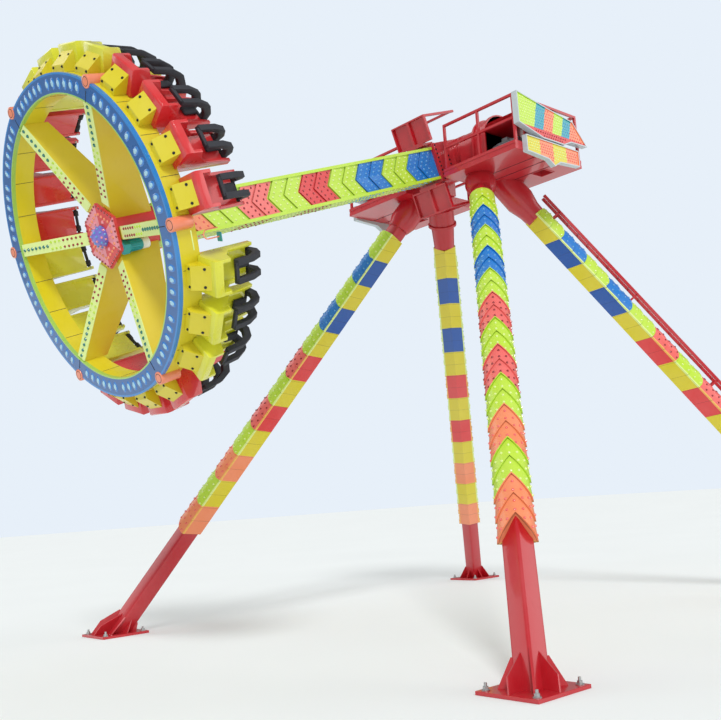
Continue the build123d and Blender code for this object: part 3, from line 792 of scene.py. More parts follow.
def paint_nodes(finish: Material, *nodes: str) -> None:
    """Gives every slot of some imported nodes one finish."""
    for name in nodes:
        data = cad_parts[name].data
        if not data.materials:
            data.materials.append(finish)
        for index in range(len(data.materials)):
            data.materials[index] = finish
        log.info("%s: painted %s", name, finish.name)


LAMP_OF = {
    Tone.LIME: Tone.PALE_LIME,
    Tone.PANEL_BLUE: Tone.SKY,
    Tone.CORAL: Tone.MAROON,
    Tone.RED: Tone.MAROON,
    Tone.ORANGE: Tone.CORAL,
    Tone.YELLOW: Tone.PALE_LIME,
    Tone.TEAL: Tone.SKY,
}

PLAIN_OF = {
    Tone.LIME: Tone.YELLOW,
    Tone.PANEL_BLUE: Tone.PLAIN_BLUE,
    Tone.CORAL: Tone.RED,
    Tone.ORANGE: Tone.ORANGE,
}
STRIP_OF = {
    Tone.LIME: Tone.PALE_LIME,
    Tone.PANEL_BLUE: Tone.PALE_LIME,
    Tone.CORAL: Tone.AMBER,
    Tone.ORANGE: Tone.AMBER,
}
LEG_TONES = (
    Tone.LIME, Tone.PANEL_BLUE, Tone.LIME, Tone.PANEL_BLUE, Tone.LIME, Tone.CORAL, Tone.LIME, Tone.CORAL,
    Tone.LIME, Tone.ORANGE, Tone.LIME, Tone.ORANGE,
)


def tone_at(steps: Steps, value: float) -> Tone:
    """The colour of the last step that starts at or below a value."""
    found = steps[0][1]
    for start, tone in steps:
        if value >= start:
            found = tone
    return found


@dataclass
class Leg:
    """One leg: a square tube set corner outwards, its chevron cladding and its foot."""

    name: str
    side_x: int
    side_y: int
    low: float
    step: float
    end: float
    collar: Outline
    foot: tuple[float, float] = (5.110, 5.310)
    head: tuple[float, float, float] = (0.400, 0.970, 8.400)
    reach: float = 0.250
    tube: float = 0.226
    tube_edge: float = 0.045
    arch: float = 0.300
    back_arch: float = 0.140
    lift: float = 0.024
    top: float = 10.626
    deck: float = 8.450
    gusset: float = 0.420
    anchor: float = 0.380
    plate: float = 0.045
    plate_size: float = 0.940
    lamp_rows: tuple[float, float] = (0.13, 0.60)
    lamp_turn: float = 24.5
    lamp_size: tuple[float, float] = (0.021, 0.020)

    def place(self) -> Place:
        """Axes at the foot: Z up the leg and Y outwards."""
        foot = Vector((self.side_x * self.foot[0], self.side_y * self.foot[1], 0.0))
        head = Vector((self.side_x * self.head[0], self.side_y * self.head[1], self.head[2]))
        along = (head - foot).normalized()
        sideways = Vector((0, 0, 1)).cross(along).normalized()
        return Place(foot, sideways, along.cross(sideways), along)

    def over(self, x: float, y: float, z: float) -> Matrix:
        """Matrix with level axes, at a distance from the foot's middle."""
        return Matrix.Translation((self.side_x * self.foot[0] + x, self.side_y * self.foot[1] + y, z))

    def steps(self) -> Steps:
        """Where each band starts along the side corners, lowest first."""
        return tuple((self.low + self.step * index, tone) for index, tone in enumerate(reversed(LEG_TONES)))

    def lows(self) -> list[float]:
        """Where each lapped panel's lower edge meets the side corners, two to a band."""
        pitch = self.step / 2
        count = int((self.end - self.arch - self.low) / pitch) + 1
        return [self.low + pitch * index for index in range(count)]

    def bands(self) -> Material:
        """The chevron paint, laid by the distance up the leg."""
        steps = self.steps()
        return Bands(
            f"cladding_bands_{self.name}", Tone.YELLOW, 0.32, 0.0, 0.2, 0.3, 0.22, 1.2, 50.0, 0.05,
            **self.place().axes(), slope=self.arch / self.reach, back_slope=self.back_arch / self.reach,
            half_width=self.reach, low=1.0, high=10.6, panel_steps=steps,
            plain_steps=tuple((at, PLAIN_OF[tone]) for at, tone in steps),
            strip_steps=tuple((at, STRIP_OF[tone]) for at, tone in steps),
            first=self.low, pitch=self.step / 2,
        ).material()

    def cladding(self) -> None:
        """Builds the sleeve, round outside and folded inside, and its lapped panels."""
        place = self.place()
        piece = Piece(f"cladding_{self.name}_panels", self.bands())
        turns = [pi * index / 14 for index in range(15)]
        outline = [(self.reach * cos(turn), self.reach * sin(turn)) for turn in turns] + [(0.0, -self.reach)]
        corners = [piece.mesh.verts.new(place.at(x, y, self.low).translation) for x, y in outline]
        foot = bmesh.ops.contextual_create(piece.mesh, geom=corners)["faces"][0]
        grown = bmesh.ops.extrude_face_region(piece.mesh, geom=[foot], use_keep_orig=True)["geom"]
        bmesh.ops.translate(piece.mesh, verts=only(Vert, grown), vec=place.z * (self.end - self.low))
        for vert, (x, y) in zip(corners, outline):
            rise = self.arch if y > 0 else self.back_arch
            vert.co += place.z * (rise * (1 - abs(x) / self.reach))
        bmesh.ops.recalc_face_normals(piece.mesh, faces=piece.mesh.faces[:])
        for low in self.lows():
            self.panel(piece, place, low)
            piece.rest()
        piece.trim_along(place, self.end)
        piece.finish("frame", "leg_cladding", [f"cladding_{self.name}"], 28.0)

    def panel(self, piece: Piece, place: Place, low: float) -> None:
        """Adds one lapped panel: a half ring with a proud, arched lower edge.

        Args:
            piece: The piece that gets the panel.
            place: The leg's axes.
            low: Where its lower edge meets the side corners.
        """
        profile = ((self.reach, low), (self.reach + self.lift, low), (self.reach, low + self.step / 2))
        corners = [piece.mesh.verts.new(place.at(radius, 0, along).translation) for radius, along in profile]
        links = [piece.mesh.edges.new((corners[index - 1], corners[index])) for index in range(3)]
        made = spin(piece.mesh, corners + links, place.origin, place.z, pi, 14)
        first = bmesh.ops.contextual_create(piece.mesh, geom=links)["faces"][0]
        bmesh.ops.contextual_create(piece.mesh, geom=only(Edge, made["geom_last"]))
        # The new ring touches no other part, so its links lead to all of its corners.
        verts = set(first.verts)
        grown = verts
        while grown:
            grown = {link.other_vert(vert) for vert in grown for link in vert.link_edges} - verts
            verts |= grown
        for vert in verts:
            offset = vert.co - place.origin
            x, y = offset.dot(place.x), offset.dot(place.y)
            vert.co += place.z * (self.arch * (1 - abs(x) / sqrt(x * x + y * y)))
        faces = {face for vert in verts for face in vert.link_faces}
        bmesh.ops.recalc_face_normals(piece.mesh, faces=list(faces))

    def lamps(self, palette: Palette) -> None:
        """Sets two rows of lamps on each lapped panel, round its outer half."""
        place = self.place()
        piece = Piece(f"leg_lamps_{self.name}")
        # Seven lamps to a row, spread round the outer half from its middle.
        turns = [pi / 2 + radians(self.lamp_turn) * step for step in range(-3, 4)]
        for low in self.lows():
            slot = piece.slot_of(palette.lamp(LAMP_OF[tone_at(self.steps(), low + 0.01)]))
            for share in self.lamp_rows:
                for turn in turns:
                    along = low + share * self.step / 2 + self.arch * (1 - abs(cos(turn)))
                    if along <= self.end - 0.03:
                        out = place.x * cos(turn) + place.y * sin(turn)
                        point = place.origin + place.z * along + out * (self.reach + self.lift * (1 - share))
                        spot = Place(point, place.z, out.cross(place.z), out)
                        piece.lamp(spot.at(0, 0, 0), *self.lamp_size, slot)
        piece.finish("frame", "leg_cladding")

    def steel(self, palette: Palette) -> None:
        """Builds the square tube with its collar, gussets and foot plate."""
        place = self.place()
        piece = Piece(f"leg_{self.name}_tube", palette.red_steel)
        above = self.top + 0.3
        collar = [(radius, self.top - below) for below, radius in self.collar]
        piece.turned(place, [(0, above), (self.collar[0][1], above), *collar, (0, collar[-1][1])])
        piece.drum(place.at(0, 0, -0.4), self.tube, self.top + 0.9, 0, 4)
        # Only the tube's four corners are longer than the leg is high.
        long = [link for link in piece.mesh.edges if link.calc_length() > self.top]
        ease(piece.mesh, long, self.tube_edge, 4)
        far = self.tube + 0.18
        for turn in range(4):
            angle = pi * turn / 4
            near = self.tube if turn % 2 == 0 else self.tube / sqrt(2)
            outwards = place.x * cos(angle) + place.y * sin(angle)
            flat = Place(place.origin, outwards, place.z, outwards.cross(place.z))
            outline = [
                (-far, -far), (far, -far), (far, self.plate), (near, self.gusset), (-near, self.gusset),
                (-far, self.plate),
            ]
            piece.sheet(flat, outline, -0.012, 0.024)
        piece.trim(0.01, False)
        piece.trim(self.deck, True)
        piece.bar(self.over(0, 0, self.plate / 2), (self.plate_size, self.plate_size, self.plate), 0, 0.004)
        piece.finish("frame", "red_steel", [f"leg_{self.name}"], 30.0)

    def ladder(self, palette: Palette) -> None:
        """Builds the ladder on its stand-offs over the outer corner."""
        place = self.place()
        piece = Piece("leg_ladder_rungs", palette.red_steel)
        low, high, half, level, margin = 2.100, 9.900, 0.110, 0.420, 0.475
        foot = sqrt(self.reach ** 2 - half ** 2) - 0.01
        for side in (-1, 1):
            piece.bar(place.at(side * half, level, (low + high) / 2), (0.032, 0.064, high - low), 0, 0.006)
            for index in range(4):
                along = low + margin + (high - low - 2 * margin) * index / 3
                spot = place.at(side * half, (foot + level) / 2, along)
                piece.bar(spot, (0.032, level - foot, 0.040), 0, 0.004)
        for index in range(26):
            spot = place.at(-half, level, low + 0.15 + 0.30 * index) @ Matrix.Rotation(pi / 2, 4, "Y")
            piece.drum(spot, 0.014, 2 * half, 0, 12)
        piece.finish("frame", "red_steel", ["leg_ladder"])

    def foot_bolts(self, palette: Palette) -> None:
        """Adds the anchors' nuts and studs on the foot plate."""
        piece = Piece(f"anchors_{self.name}", palette.zinc)
        for x in (-self.anchor, self.anchor):
            for y in (-self.anchor, self.anchor):
                spot = self.over(x, y, self.plate)
                piece.bolt(spot, 0.036, 0.045)
                piece.drum(spot, 0.019, 0.085, sides=12, edge=0.003)
        piece.finish("frame", "red_steel")

    def build(self, palette: Palette) -> None:
        """Builds and dresses the whole leg."""
        self.cladding()
        self.lamps(palette)
        self.steel(palette)
        self.foot_bolts(palette)
        if self.name == "front_right":
            self.ladder(palette)


@dataclass
class Arm:
    """The swinging arm: its head, its chevron panels and its walkways."""

    swing: float = 70.0
    axle: float = 9.200
    head_end: float = 1.000
    beam_end: float = 7.460
    rise: float = 0.200
    count: int = 18
    half: float = 0.280
    face: float = 0.270
    lift: float = 0.024
    flange: float = 0.335
    lamp_rows: tuple[float, float] = (0.28, 0.74)
    lamp_reach: float = 0.235
    flange_rows: tuple[float, ...] = (-0.22, -0.11, 0.0, 0.11, 0.22)
    bolt_circle: float = 0.385
    joint_levels: tuple[float, float] = (0.62, 0.93)
    tones: tuple[Tone, ...] = (
        Tone.PANEL_BLUE, Tone.LIME, Tone.PANEL_BLUE, Tone.LIME, Tone.RED, Tone.LIME, Tone.CORAL, Tone.LIME,
        Tone.ORANGE,
    )

    def place(self) -> Place:
        """Axes at the axle: Z down the arm, X across it and Y along the axle."""
        turn = radians(self.swing)
        down = Vector((-sin(turn), 0.0, -cos(turn)))
        across = Vector((-cos(turn), 0.0, sin(turn)))
        return Place(Vector((0, 0, self.axle)), across, down.cross(across), down)

    def pitch(self) -> float:
        """Length of one chevron panel."""
        return (self.beam_end - self.head_end - self.rise) / self.count

    def steps(self) -> Steps:
        """Where each colour band starts along the arm."""
        first = self.head_end + self.rise
        return tuple((first + 2 * self.pitch() * index, tone) for index, tone in enumerate(self.tones))

    def paint(self, palette: Palette) -> None:
        """Lays the bands on the beam and paints the steelwork."""
        slope = self.rise / self.half
        bands = BeamBands(
            "arm_bands", Tone.LIME, 0.32, 0.0, 0.3, 0.3, 0.22, 1.2, 50.0, 0.05, **self.place().axes(),
            slope=slope, back_slope=slope, half_width=self.half, low=0.2, high=8.0,
            panel_steps=tuple((at - self.rise, tone) for at, tone in self.steps()), first=self.head_end,
            pitch=self.pitch(), end=self.beam_end,
        )
        paint_nodes(bands.material(), "arm_beam")
        paint_nodes(palette.red_steel, "arm_head", "walkways")

    def lamps(self, palette: Palette) -> None:
        """Sets lamps on the chevron panels and along the lower flange."""
        place = self.place()
        piece = Piece("arm_lamps")
        for index in range(self.count):
            start = self.head_end + self.rise + self.pitch() * index
            slot = piece.slot_of(palette.lamp(LAMP_OF[tone_at(self.steps(), start + 0.01)]))
            for share in self.lamp_rows:
                for step in range(-3, 4):
                    across = self.lamp_reach * step / 3
                    along = start + share * self.pitch() - abs(across) * self.rise / self.half
                    for side in (-1, 1):
                        spot = place.at(across, side * (self.face + self.lift * share), along)
                        piece.lamp(spot @ Matrix.Rotation(-side * pi / 2, 4, "X"), 0.021, 0.016, slot)
        for index in range(2 * self.count):
            along = self.head_end + 0.25 + index * self.pitch() / 2
            slot = piece.slot_of(palette.lamp(LAMP_OF[tone_at(self.steps(), along)]))
            for row in self.flange_rows:
                spot = place.at(-self.flange, row, along) @ Matrix.Rotation(-pi / 2, 4, "Y")
                piece.lamp(spot, 0.022, 0.018, slot)
        piece.finish("arm", "arm_cladding")

    def bolts(self, palette: Palette) -> None:
        """Adds the bolt circles round the axle and the rows at the beam joint."""
        place = self.place()
        piece = Piece("arm_head_bolts", palette.red_steel, palette.dark_bolt)
        for side in (-1, 1):
            turn = Matrix.Rotation(-side * pi / 2, 4, "X")
            for index in range(20):
                angle = 2 * pi * index / 20
                spot = place.at(self.bolt_circle * cos(angle), side * 0.42, self.bolt_circle * sin(angle))
                piece.bolt(spot @ turn, 0.017, 0.02, 1)
            for along in self.joint_levels:
                piece.bar(place.at(0.0, side * 0.336, along), (0.78, 0.012, 0.07), 0, 0.003)
                for index in range(9):
                    spot = place.at(-0.35 + 0.0875 * index, side * 0.342, along) @ turn
                    piece.bolt(spot, 0.014, 0.016, 1)
        for side in (-1, 1):
            turn = Matrix.Rotation(side * pi / 2, 4, "Y")
            along = self.joint_levels[-1]
            piece.bar(place.at(side * 0.405, 0.0, along), (0.010, 0.64, 0.07), 0, 0.003)
            for index in range(8):
                piece.bolt(place.at(side * 0.410, -0.28 + 0.08 * index, along) @ turn, 0.014, 0.016, 1)
        piece.finish("arm", "red_steel")

    def build(self, palette: Palette) -> None:
        """Builds and dresses the whole arm."""
        self.paint(palette)
        self.lamps(palette)
        self.bolts(palette)


@dataclass
class Tower:
    """What stands on the legs: decks, railings, bearings, drives and signs."""

    deck_half: float = 1.000
    deck_inner: float = 0.560
    deck_outer: float = 2.450
    deck_top: float = 8.620
    deck_low: float = 8.450
    axle: float = 9.200
    housing: Point = (0.530, 0.600, 0.490)
    rib: Point = (0.560, 0.600, 0.520)
    rib_width: float = 0.050
    housing_start: float = 0.960
    housing_end: float = 1.330
    roof: Point = (0.560, 0.640, 0.330)
    ceiling: Point = (0.530, 0.640, 0.300)
    roof_start: float = 1.3303
    roof_end: float = 2.330
    roof_wall: float = 0.030
    motor_offset: float = 0.230
    motor_radius: float = 0.150
    cowl_radius: float = 0.158
    bolt_circle: float = 0.395
    upper: Outline = (
        (-1.0, 8.93), (-1.0, 9.56), (-0.11, 9.42), (0.66, 9.32), (1.08, 8.88), (0.56, 8.86), (0.33, 8.76),
        (-0.31, 8.76),
    )
    lower: Outline = (
        (-0.8, 8.74), (0.8, 8.74), (0.8, 8.41), (0.18, 8.37), (0.0, 8.26), (-0.18, 8.37), (-0.8, 8.41),
    )
    bars: Steps = (
        (-1.2, Tone.LIME), (-0.55, Tone.TEAL), (-0.28, Tone.ORANGE), (0.0, Tone.LIME), (0.28, Tone.TEAL),
        (0.52, Tone.ORANGE),
    )
    lower_bars: Steps = ((-1.2, Tone.YELLOW), (-0.4, Tone.ORANGE), (0.0, Tone.YELLOW), (0.4, Tone.ORANGE))

    def end(self, side: int) -> Place:
        """Axes of one end of the axle: Z outwards and Y upwards."""
        return Place(Vector((0, 0, 0)), Vector((-side, 0, 0)), Vector((0, 0, 1)), Vector((0, side, 0)))

    def paint(self, palette: Palette) -> None:
        """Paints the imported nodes."""
        names = [f"{kind}_{end}" for kind in ("deck", "railing", "bearing") for end in ("front", "rear")]
        paint_nodes(palette.red_steel, *names)
        paint_nodes(palette.rim, "upper_signs", "lower_signs")

    def deck_trim(self, palette: Palette) -> None:
        """Adds angle irons round each deck, a frame round its hatch and its joints."""
        piece = Piece("deck_trim", palette.red_steel, palette.dark_bolt)
        half, below = self.deck_half, self.deck_low - 0.004
        length = self.deck_outer - self.deck_inner
        middle = (self.deck_inner + self.deck_outer) / 2
        hatch = self.deck_outer - 0.6
        for side in (-1, 1):
            place = self.end(side)
            for edge in (-1, 1):
                for level in (self.deck_low + 0.03, self.deck_top - 0.03):
                    piece.bar(place.at(edge * (half + 0.004), level, middle), (0.012, 0.06, length), 0, 0.003)
                for index in range(7):
                    along = self.deck_inner + length * (index + 0.5) / 7
                    spot = place.at(edge * (half + 0.002), (self.deck_low + self.deck_top) / 2, along)
                    piece.bar(spot, (0.008, 0.06, 0.012), 0, 0.002)
            for offset in (-0.5, 0.0, 0.5):
                spot = place.at(offset * half * 0.66, self.deck_low - 0.002, middle)
                piece.bar(spot, (0.012, 0.006, length * 0.98), 1, 0.001)
            for shift in (-0.165, 0.165):
                piece.bar(place.at(-side * 0.5 + shift, below, hatch), (0.02, 0.014, 0.35), 0, 0.003)
                piece.bar(place.at(-side * 0.5, below, hatch + shift), (0.31, 0.014, 0.02), 0, 0.003)
        piece.finish("frame", "red_steel")

    def housing_bolts(self, palette: Palette) -> None:
        """Adds the bolts of the bearing rings and along the housings' feet."""
        piece = Piece("housing_bolts", palette.dark_bolt)
        for side in (-1, 1):
            place = self.end(side)
            for index in range(24):
                angle = 2 * pi * index / 24
                if sin(angle) > -0.2:
                    across, above = self.bolt_circle * cos(angle), self.bolt_circle * sin(angle)
                    piece.bolt(place.at(across, self.axle + above, 0.9), 0.015, 0.018)
            for index in range(4):
                for across in (-1, 1):
                    spot = place.at(across * 0.545, self.deck_top + 0.001, 1.0 + 0.08 * index)
                    piece.bolt(spot @ Matrix.Rotation(-pi / 2, 4, "X"), 0.014, 0.016)
        piece.finish("frame", "red_steel")

    def arch(self, half: float, wall: float, rise: float) -> list[tuple[float, float]]:
        """Outline of an arched wall that stands on the deck.

        Args:
            half: Half of its width.
            wall: Height of its straight part.
            rise: Height of the arch above that.

        Returns:
            The outline's corners, from one foot over the top to the other.
        """
        base = self.deck_top
        turns = [pi * index / 24 for index in range(25)]
        curve = [(half * cos(turn), base + wall + rise * sin(turn)) for turn in turns]
        return [(half, base), *curve, (-half, base)]

    def housings(self, palette: Palette) -> None:
        """Builds the drive housings with their ribs and the canopies over the motors."""
        for side, end in ((-1, "front"), (1, "rear")):
            place = self.end(side)
            piece = Piece(f"drive_housing_{end}_shell", palette.red_steel)
            length = self.housing_end - self.housing_start
            piece.sheet(place, self.arch(*self.housing), self.housing_start, length)
            for level in (self.housing_start, self.housing_end - self.rib_width):
                piece.sheet(place, self.arch(*self.rib), level, self.rib_width)
            piece.finish("frame", "red_steel", [f"drive_housing_{end}"], 30.0)
        roofs = Piece("motor_canopy_roofs", palette.red_steel)
        for side in (-1, 1):
            place = self.end(side)
            outer, inner = self.arch(*self.roof), self.arch(*self.ceiling)
            shell = outer[1:-1] + inner[-2:0:-1]
            roofs.sheet(place, shell, self.roof_start, self.roof_end - self.roof_start)
            roofs.sheet(place, outer, self.roof_end - self.roof_wall, self.roof_wall)
        roofs.finish("frame", "red_steel", ["motor_canopies"], 30.0)

    def motors(self, palette: Palette) -> None:
        """Builds the drive motors with their fins, fan cowls and terminal boxes."""
        piece = Piece("drive_motor_castings", palette.casting)
        axis = self.deck_top + 0.26
        for side in (-1, 1):
            place = self.end(side)
            for offset in (-self.motor_offset, self.motor_offset):
                piece.drum(place.at(offset, axis, self.roof_start), self.motor_radius, 0.56, 0, 28, 0.008)
                piece.bar(place.at(offset, self.deck_top + 0.10, 1.61), (0.16, 0.20, 0.50), 0, 0.01)
                for index in range(20):
                    angle = 2 * pi * index / 20
                    if sin(angle) < -0.7:
                        continue
                    across, above = self.cowl_radius * cos(angle), self.cowl_radius * sin(angle)
                    fin = place.at(offset + across, axis + above, 1.60) @ Matrix.Rotation(angle, 4, "Z")
                    piece.bar(fin, (0.024, 0.008, 0.38), 0, 0.002)
                piece.drum(place.at(offset, axis, 1.85), self.cowl_radius, 0.09, 0, 28, 0.015)
                piece.bar(place.at(offset, self.deck_top + 0.45, 1.60), (0.13, 0.07, 0.15), 0, 0.008)
        piece.finish("frame", "grey_casting", ["drive_motors"])

    def inside(self, outline: Outline, x: float, y: float, margin: float) -> bool:
        """Tells if a point lies inside an outline and clear of its edges.

        Args:
            outline: The corners.
            x: The point along the sign.
            y: The point's height.
            margin: The least distance from any edge.

        Returns:
            True where a lamp fits.
        """
        hit = False
        for (ax, ay), (bx, by) in zip(outline, list(outline[1:]) + [outline[0]]):
            if (ay > y) != (by > y) and x < (bx - ax) * (y - ay) / (by - ay) + ax:
                hit = not hit
            length = (bx - ax) ** 2 + (by - ay) ** 2
            share = min(max(((x - ax) * (bx - ax) + (y - ay) * (by - ay)) / length, 0.0), 1.0)
            if sqrt((ax + share * (bx - ax) - x) ** 2 + (ay + share * (by - ay) - y) ** 2) < margin:
                return False
        return hit

    def sign(
        self, palette: Palette, name: str, outline: Outline, front: float, paint: SignPaint, gap: float,
    ) -> None:
        """Builds the faces of one pair of light boxes.

        Args:
            palette: The ride's finishes.
            name: The piece's name.
            outline: The box's outline.
            front: How far its face lies from the axle's middle.
            paint: The bars' paint.
            gap: Distance between lamps.
        """
        piece = Piece(name, palette.rim, paint.material())
        for side in (-1, 1):
            place = self.end(side)
            # The rim stands proud of the lit face, as the frame of a light box does.
            face = piece.sheet(place, outline, front, 0.004, 0)
            rim = bmesh.ops.inset_region(piece.mesh, faces=[face], thickness=0.020, use_even_offset=True)
            face.material_index = 1
            grown = bmesh.ops.extrude_face_region(piece.mesh, geom=rim["faces"])["geom"]
            bmesh.ops.translate(piece.mesh, verts=only(Vert, grown), vec=place.z * 0.018)
            row = 0
            height = min(y for _, y in outline) + 0.06
            while height < max(y for _, y in outline):
                across = -1.0 + (gap / 2 if row % 2 else 0.0)
                while across < 1.1:
                    if self.inside(outline, across, height, 0.06):
                        rise = height - paint.foot_level
                        bar = tone_at(paint.steps, across + rise * paint.lean)
                        slot = piece.slot_of(palette.lamp(LAMP_OF[paint.foot_tone if rise < 0 else bar]))
                        piece.lamp(place.at(across, height, front + 0.004), 0.017, 0.014, slot, 1.0, 6)
                    across += gap
                height += gap * 0.87
                row += 1
        piece.finish("frame", "light_box")

    def build(self, palette: Palette) -> None:
        """Builds and dresses everything on the decks."""
        self.paint(palette)
        self.deck_trim(palette)
        self.housings(palette)
        self.housing_bolts(palette)
        self.motors(palette)
        bars = SignPaint(
            "sign_bars", Tone.LIME, 0.3, 0.0, 0.4,
            steps=self.bars, foot_tone=Tone.RED, foot_level=8.93, lean=-0.25,
        )
        self.sign(palette, "upper_sign_faces", self.upper, 2.5605, bars, 0.068)
        bars = SignPaint(
            "lower_sign_bars", Tone.LIME, 0.3, 0.0, 0.4,
            steps=self.lower_bars, foot_tone=Tone.LIME, foot_level=8.0,
        )
        self.sign(palette, "lower_sign_faces", self.lower, 2.5405, bars, 0.062)


@dataclass
class Gondola:
    """The turning ring: its hub, spokes, lamp ring, seats and blank panel."""

    swing: float = 70.0
    axle: float = 9.200
    arm: float = 8.670
    phase: float = 230.55
    spokes: int = 6
    ring: float = 2.405
    inner: float = 2.105
    hub_level: float = 0.330
    spoke_low_rim: float = 0.030
    spoke_low_hub: float = 0.405
    hub_radius: float = 0.330
    tube: float = 0.095
    tube_top: float = 0.300
    hub_rows: tuple[tuple[float, int, float, float, int], ...] = (
        (0.472, 6, 0.020, 0.018, 0), (0.35, 4, 0.026, 0.020, 1),
    )
    dome_rows: tuple[tuple[float, float, int], ...] = (
        (0.162, 0.045, 14), (0.138, 0.095, 11), (0.085, 0.142, 7),
    )
    ring_lamps_each: int = 12
    ring_lamp_reach: float = 2.252
    ring_lamp_first: float = 5.6
    ring_lamp_step: float = 4.25
    ring_lamp_gap: float = 2.0
    strip_end: float = 0.50
    panel_back: float = 2.4053
    panel_front: float = 2.560
    panel_steps: tuple[tuple[float, float, float, float], ...] = (
        (291.3, 297.4, 0.170, 0.301), (291.3, 300.5, 0.301, 0.640),
    )
    short_sector: tuple[float, ...] = (253.0, 268.0, 283.0)

    def up(self) -> Vector:
        """Unit vector up the arm."""
        turn = radians(self.swing)
        return Vector((sin(turn), 0.0, cos(turn)))

    def centre(self) -> Vector:
        """Centre of the lamp ring's face."""
        return Vector((0, 0, self.axle)) - self.up() * self.arm

    def spot(self, angle: float, reach: float, level: float) -> Place:
        """Axes at a place on the gondola: X outwards, Z up the arm."""
        turn = radians(self.phase + angle)
        first = Vector((0, 1, 0))
        outwards = first * cos(turn) + first.cross(self.up()) * sin(turn)
        point = self.centre() + outwards * reach + self.up() * level
        return Place(point, outwards, self.up().cross(outwards), self.up())

    def seat_angles(self) -> list[float]:
        """Angle of each seat's middle, four to a sector and three in one."""
        found: list[float] = []
        for sector in range(self.spokes):
            full = [60.0 * sector + 15.0 * (index + 0.5) for index in range(4)]
            found += list(self.short_sector) if sector == 4 else full
        return found

    def paint(self, palette: Palette) -> None:
        """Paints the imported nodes."""
        ring = RingPaint(
            "ring_blue_paint", Tone.RING_BLUE, 0.26, 0.0, 0.6, 0.3, 0.15, 1.5, 60.0, 0.05,
            centre=tuple(self.centre()), axis=tuple(self.up()), inner=self.inner, outer=self.ring,
        )
        paint_nodes(ring.material(), "light_ring")
        paint_nodes(palette.yellow, "drum", "seat_pedestals")
        paint_nodes(palette.ochre, "spokes")
        paint_nodes(palette.panel_red, "gondola_hub")
        paint_nodes(palette.violet, "lamp_dome")
        paint_nodes(palette.teal, "slew_motor")

    def down(self, place: Matrix) -> Matrix:
        """The same place with Z turned towards the ring's face."""
        return place @ Matrix.Rotation(pi, 4, "X")

    def ring_lamps(self, palette: Palette) -> None:
        """Sets twelve oval lamps in sockets on each sector, and the joints between."""
        piece = Piece("ring_lamps", palette.lamp(Tone.ICE), palette.lamp(Tone.PANEL_BLUE), palette.seam)
        for sector in range(self.spokes):
            for index in range(self.ring_lamps_each):
                gap = self.ring_lamp_gap if index >= self.ring_lamps_each / 2 else 0.0
                angle = 60.0 * sector + self.ring_lamp_first + index * self.ring_lamp_step + gap
                spot = self.down(self.spot(angle, self.ring_lamp_reach, 0.0).at(0, 0, 0))
                piece.lamp(spot, 0.052, 0.010, 1, 1.6, 16)
                piece.lamp(spot, 0.036, 0.024, 0, 1.55, 12)
            joint = self.spot(60.0 * sector, 2.19, -0.001)
            piece.bar(joint.at(0, 0, 0), (0.16, 0.012, 0.006), 2, 0.001)
        piece.finish("gondola", "blue_ring")

    def spoke_fall(self) -> float:
        """How far a spoke's face rises for each metre towards the hub."""
        return (self.spoke_low_hub - self.spoke_low_rim) / (self.inner - self.hub_radius)

    def spoke_spot(self, angle: float, reach: float, across: float, sunk: float) -> Matrix:
        """Matrix on a spoke's face, tilted as the face is.

        Args:
            angle: The spoke's angle.
            reach: Distance from the axis.
            across: Distance from the spoke's middle.
            sunk: How far below the face.
        """
        level = self.spoke_low_rim + (self.inner - reach) * self.spoke_fall() - sunk
        tilt = Matrix.Rotation(atan2(self.spoke_fall(), 1.0), 4, "Y")
        return self.spot(angle, reach, level).at(0, across, 0) @ tilt

    def spoke_faces(self, palette: Palette) -> None:
        """Adds the lime lamp strip on each spoke, with its lamps."""
        strips = Piece("spoke_strips", palette.pale_lime)
        lamps = Piece("spoke_lamps", *(palette.lamp(tone) for tone in (Tone.GREEN, Tone.MAROON, Tone.LIME)))
        length = (self.inner - self.strip_end - 0.02) * sqrt(1 + self.spoke_fall() ** 2)
        for index in range(self.spokes):
            angle = 360.0 * index / self.spokes
            middle = self.spoke_spot(angle, (self.inner + self.strip_end) / 2, 0.0, 0.006)
            strips.bar(middle, (length, 0.200, 0.014), 0, 0.004)
            for step in range(7):
                spot = self.spoke_spot(angle, 2.04 - 0.095 * step, 0.0, 0.013)
                lamps.lamp(self.down(spot), 0.030, 0.022, 0)
            for step in range(8):
                for across in (-0.052, 0.052):
                    spot = self.spoke_spot(angle, 1.37 - 0.100 * step, across, 0.013)
                    lamps.lamp(self.down(spot), 0.022, 0.020, 2 if step < 3 else 1)
        strips.finish("gondola", "lime_plastic")
        lamps.finish("gondola", "blue_ring")

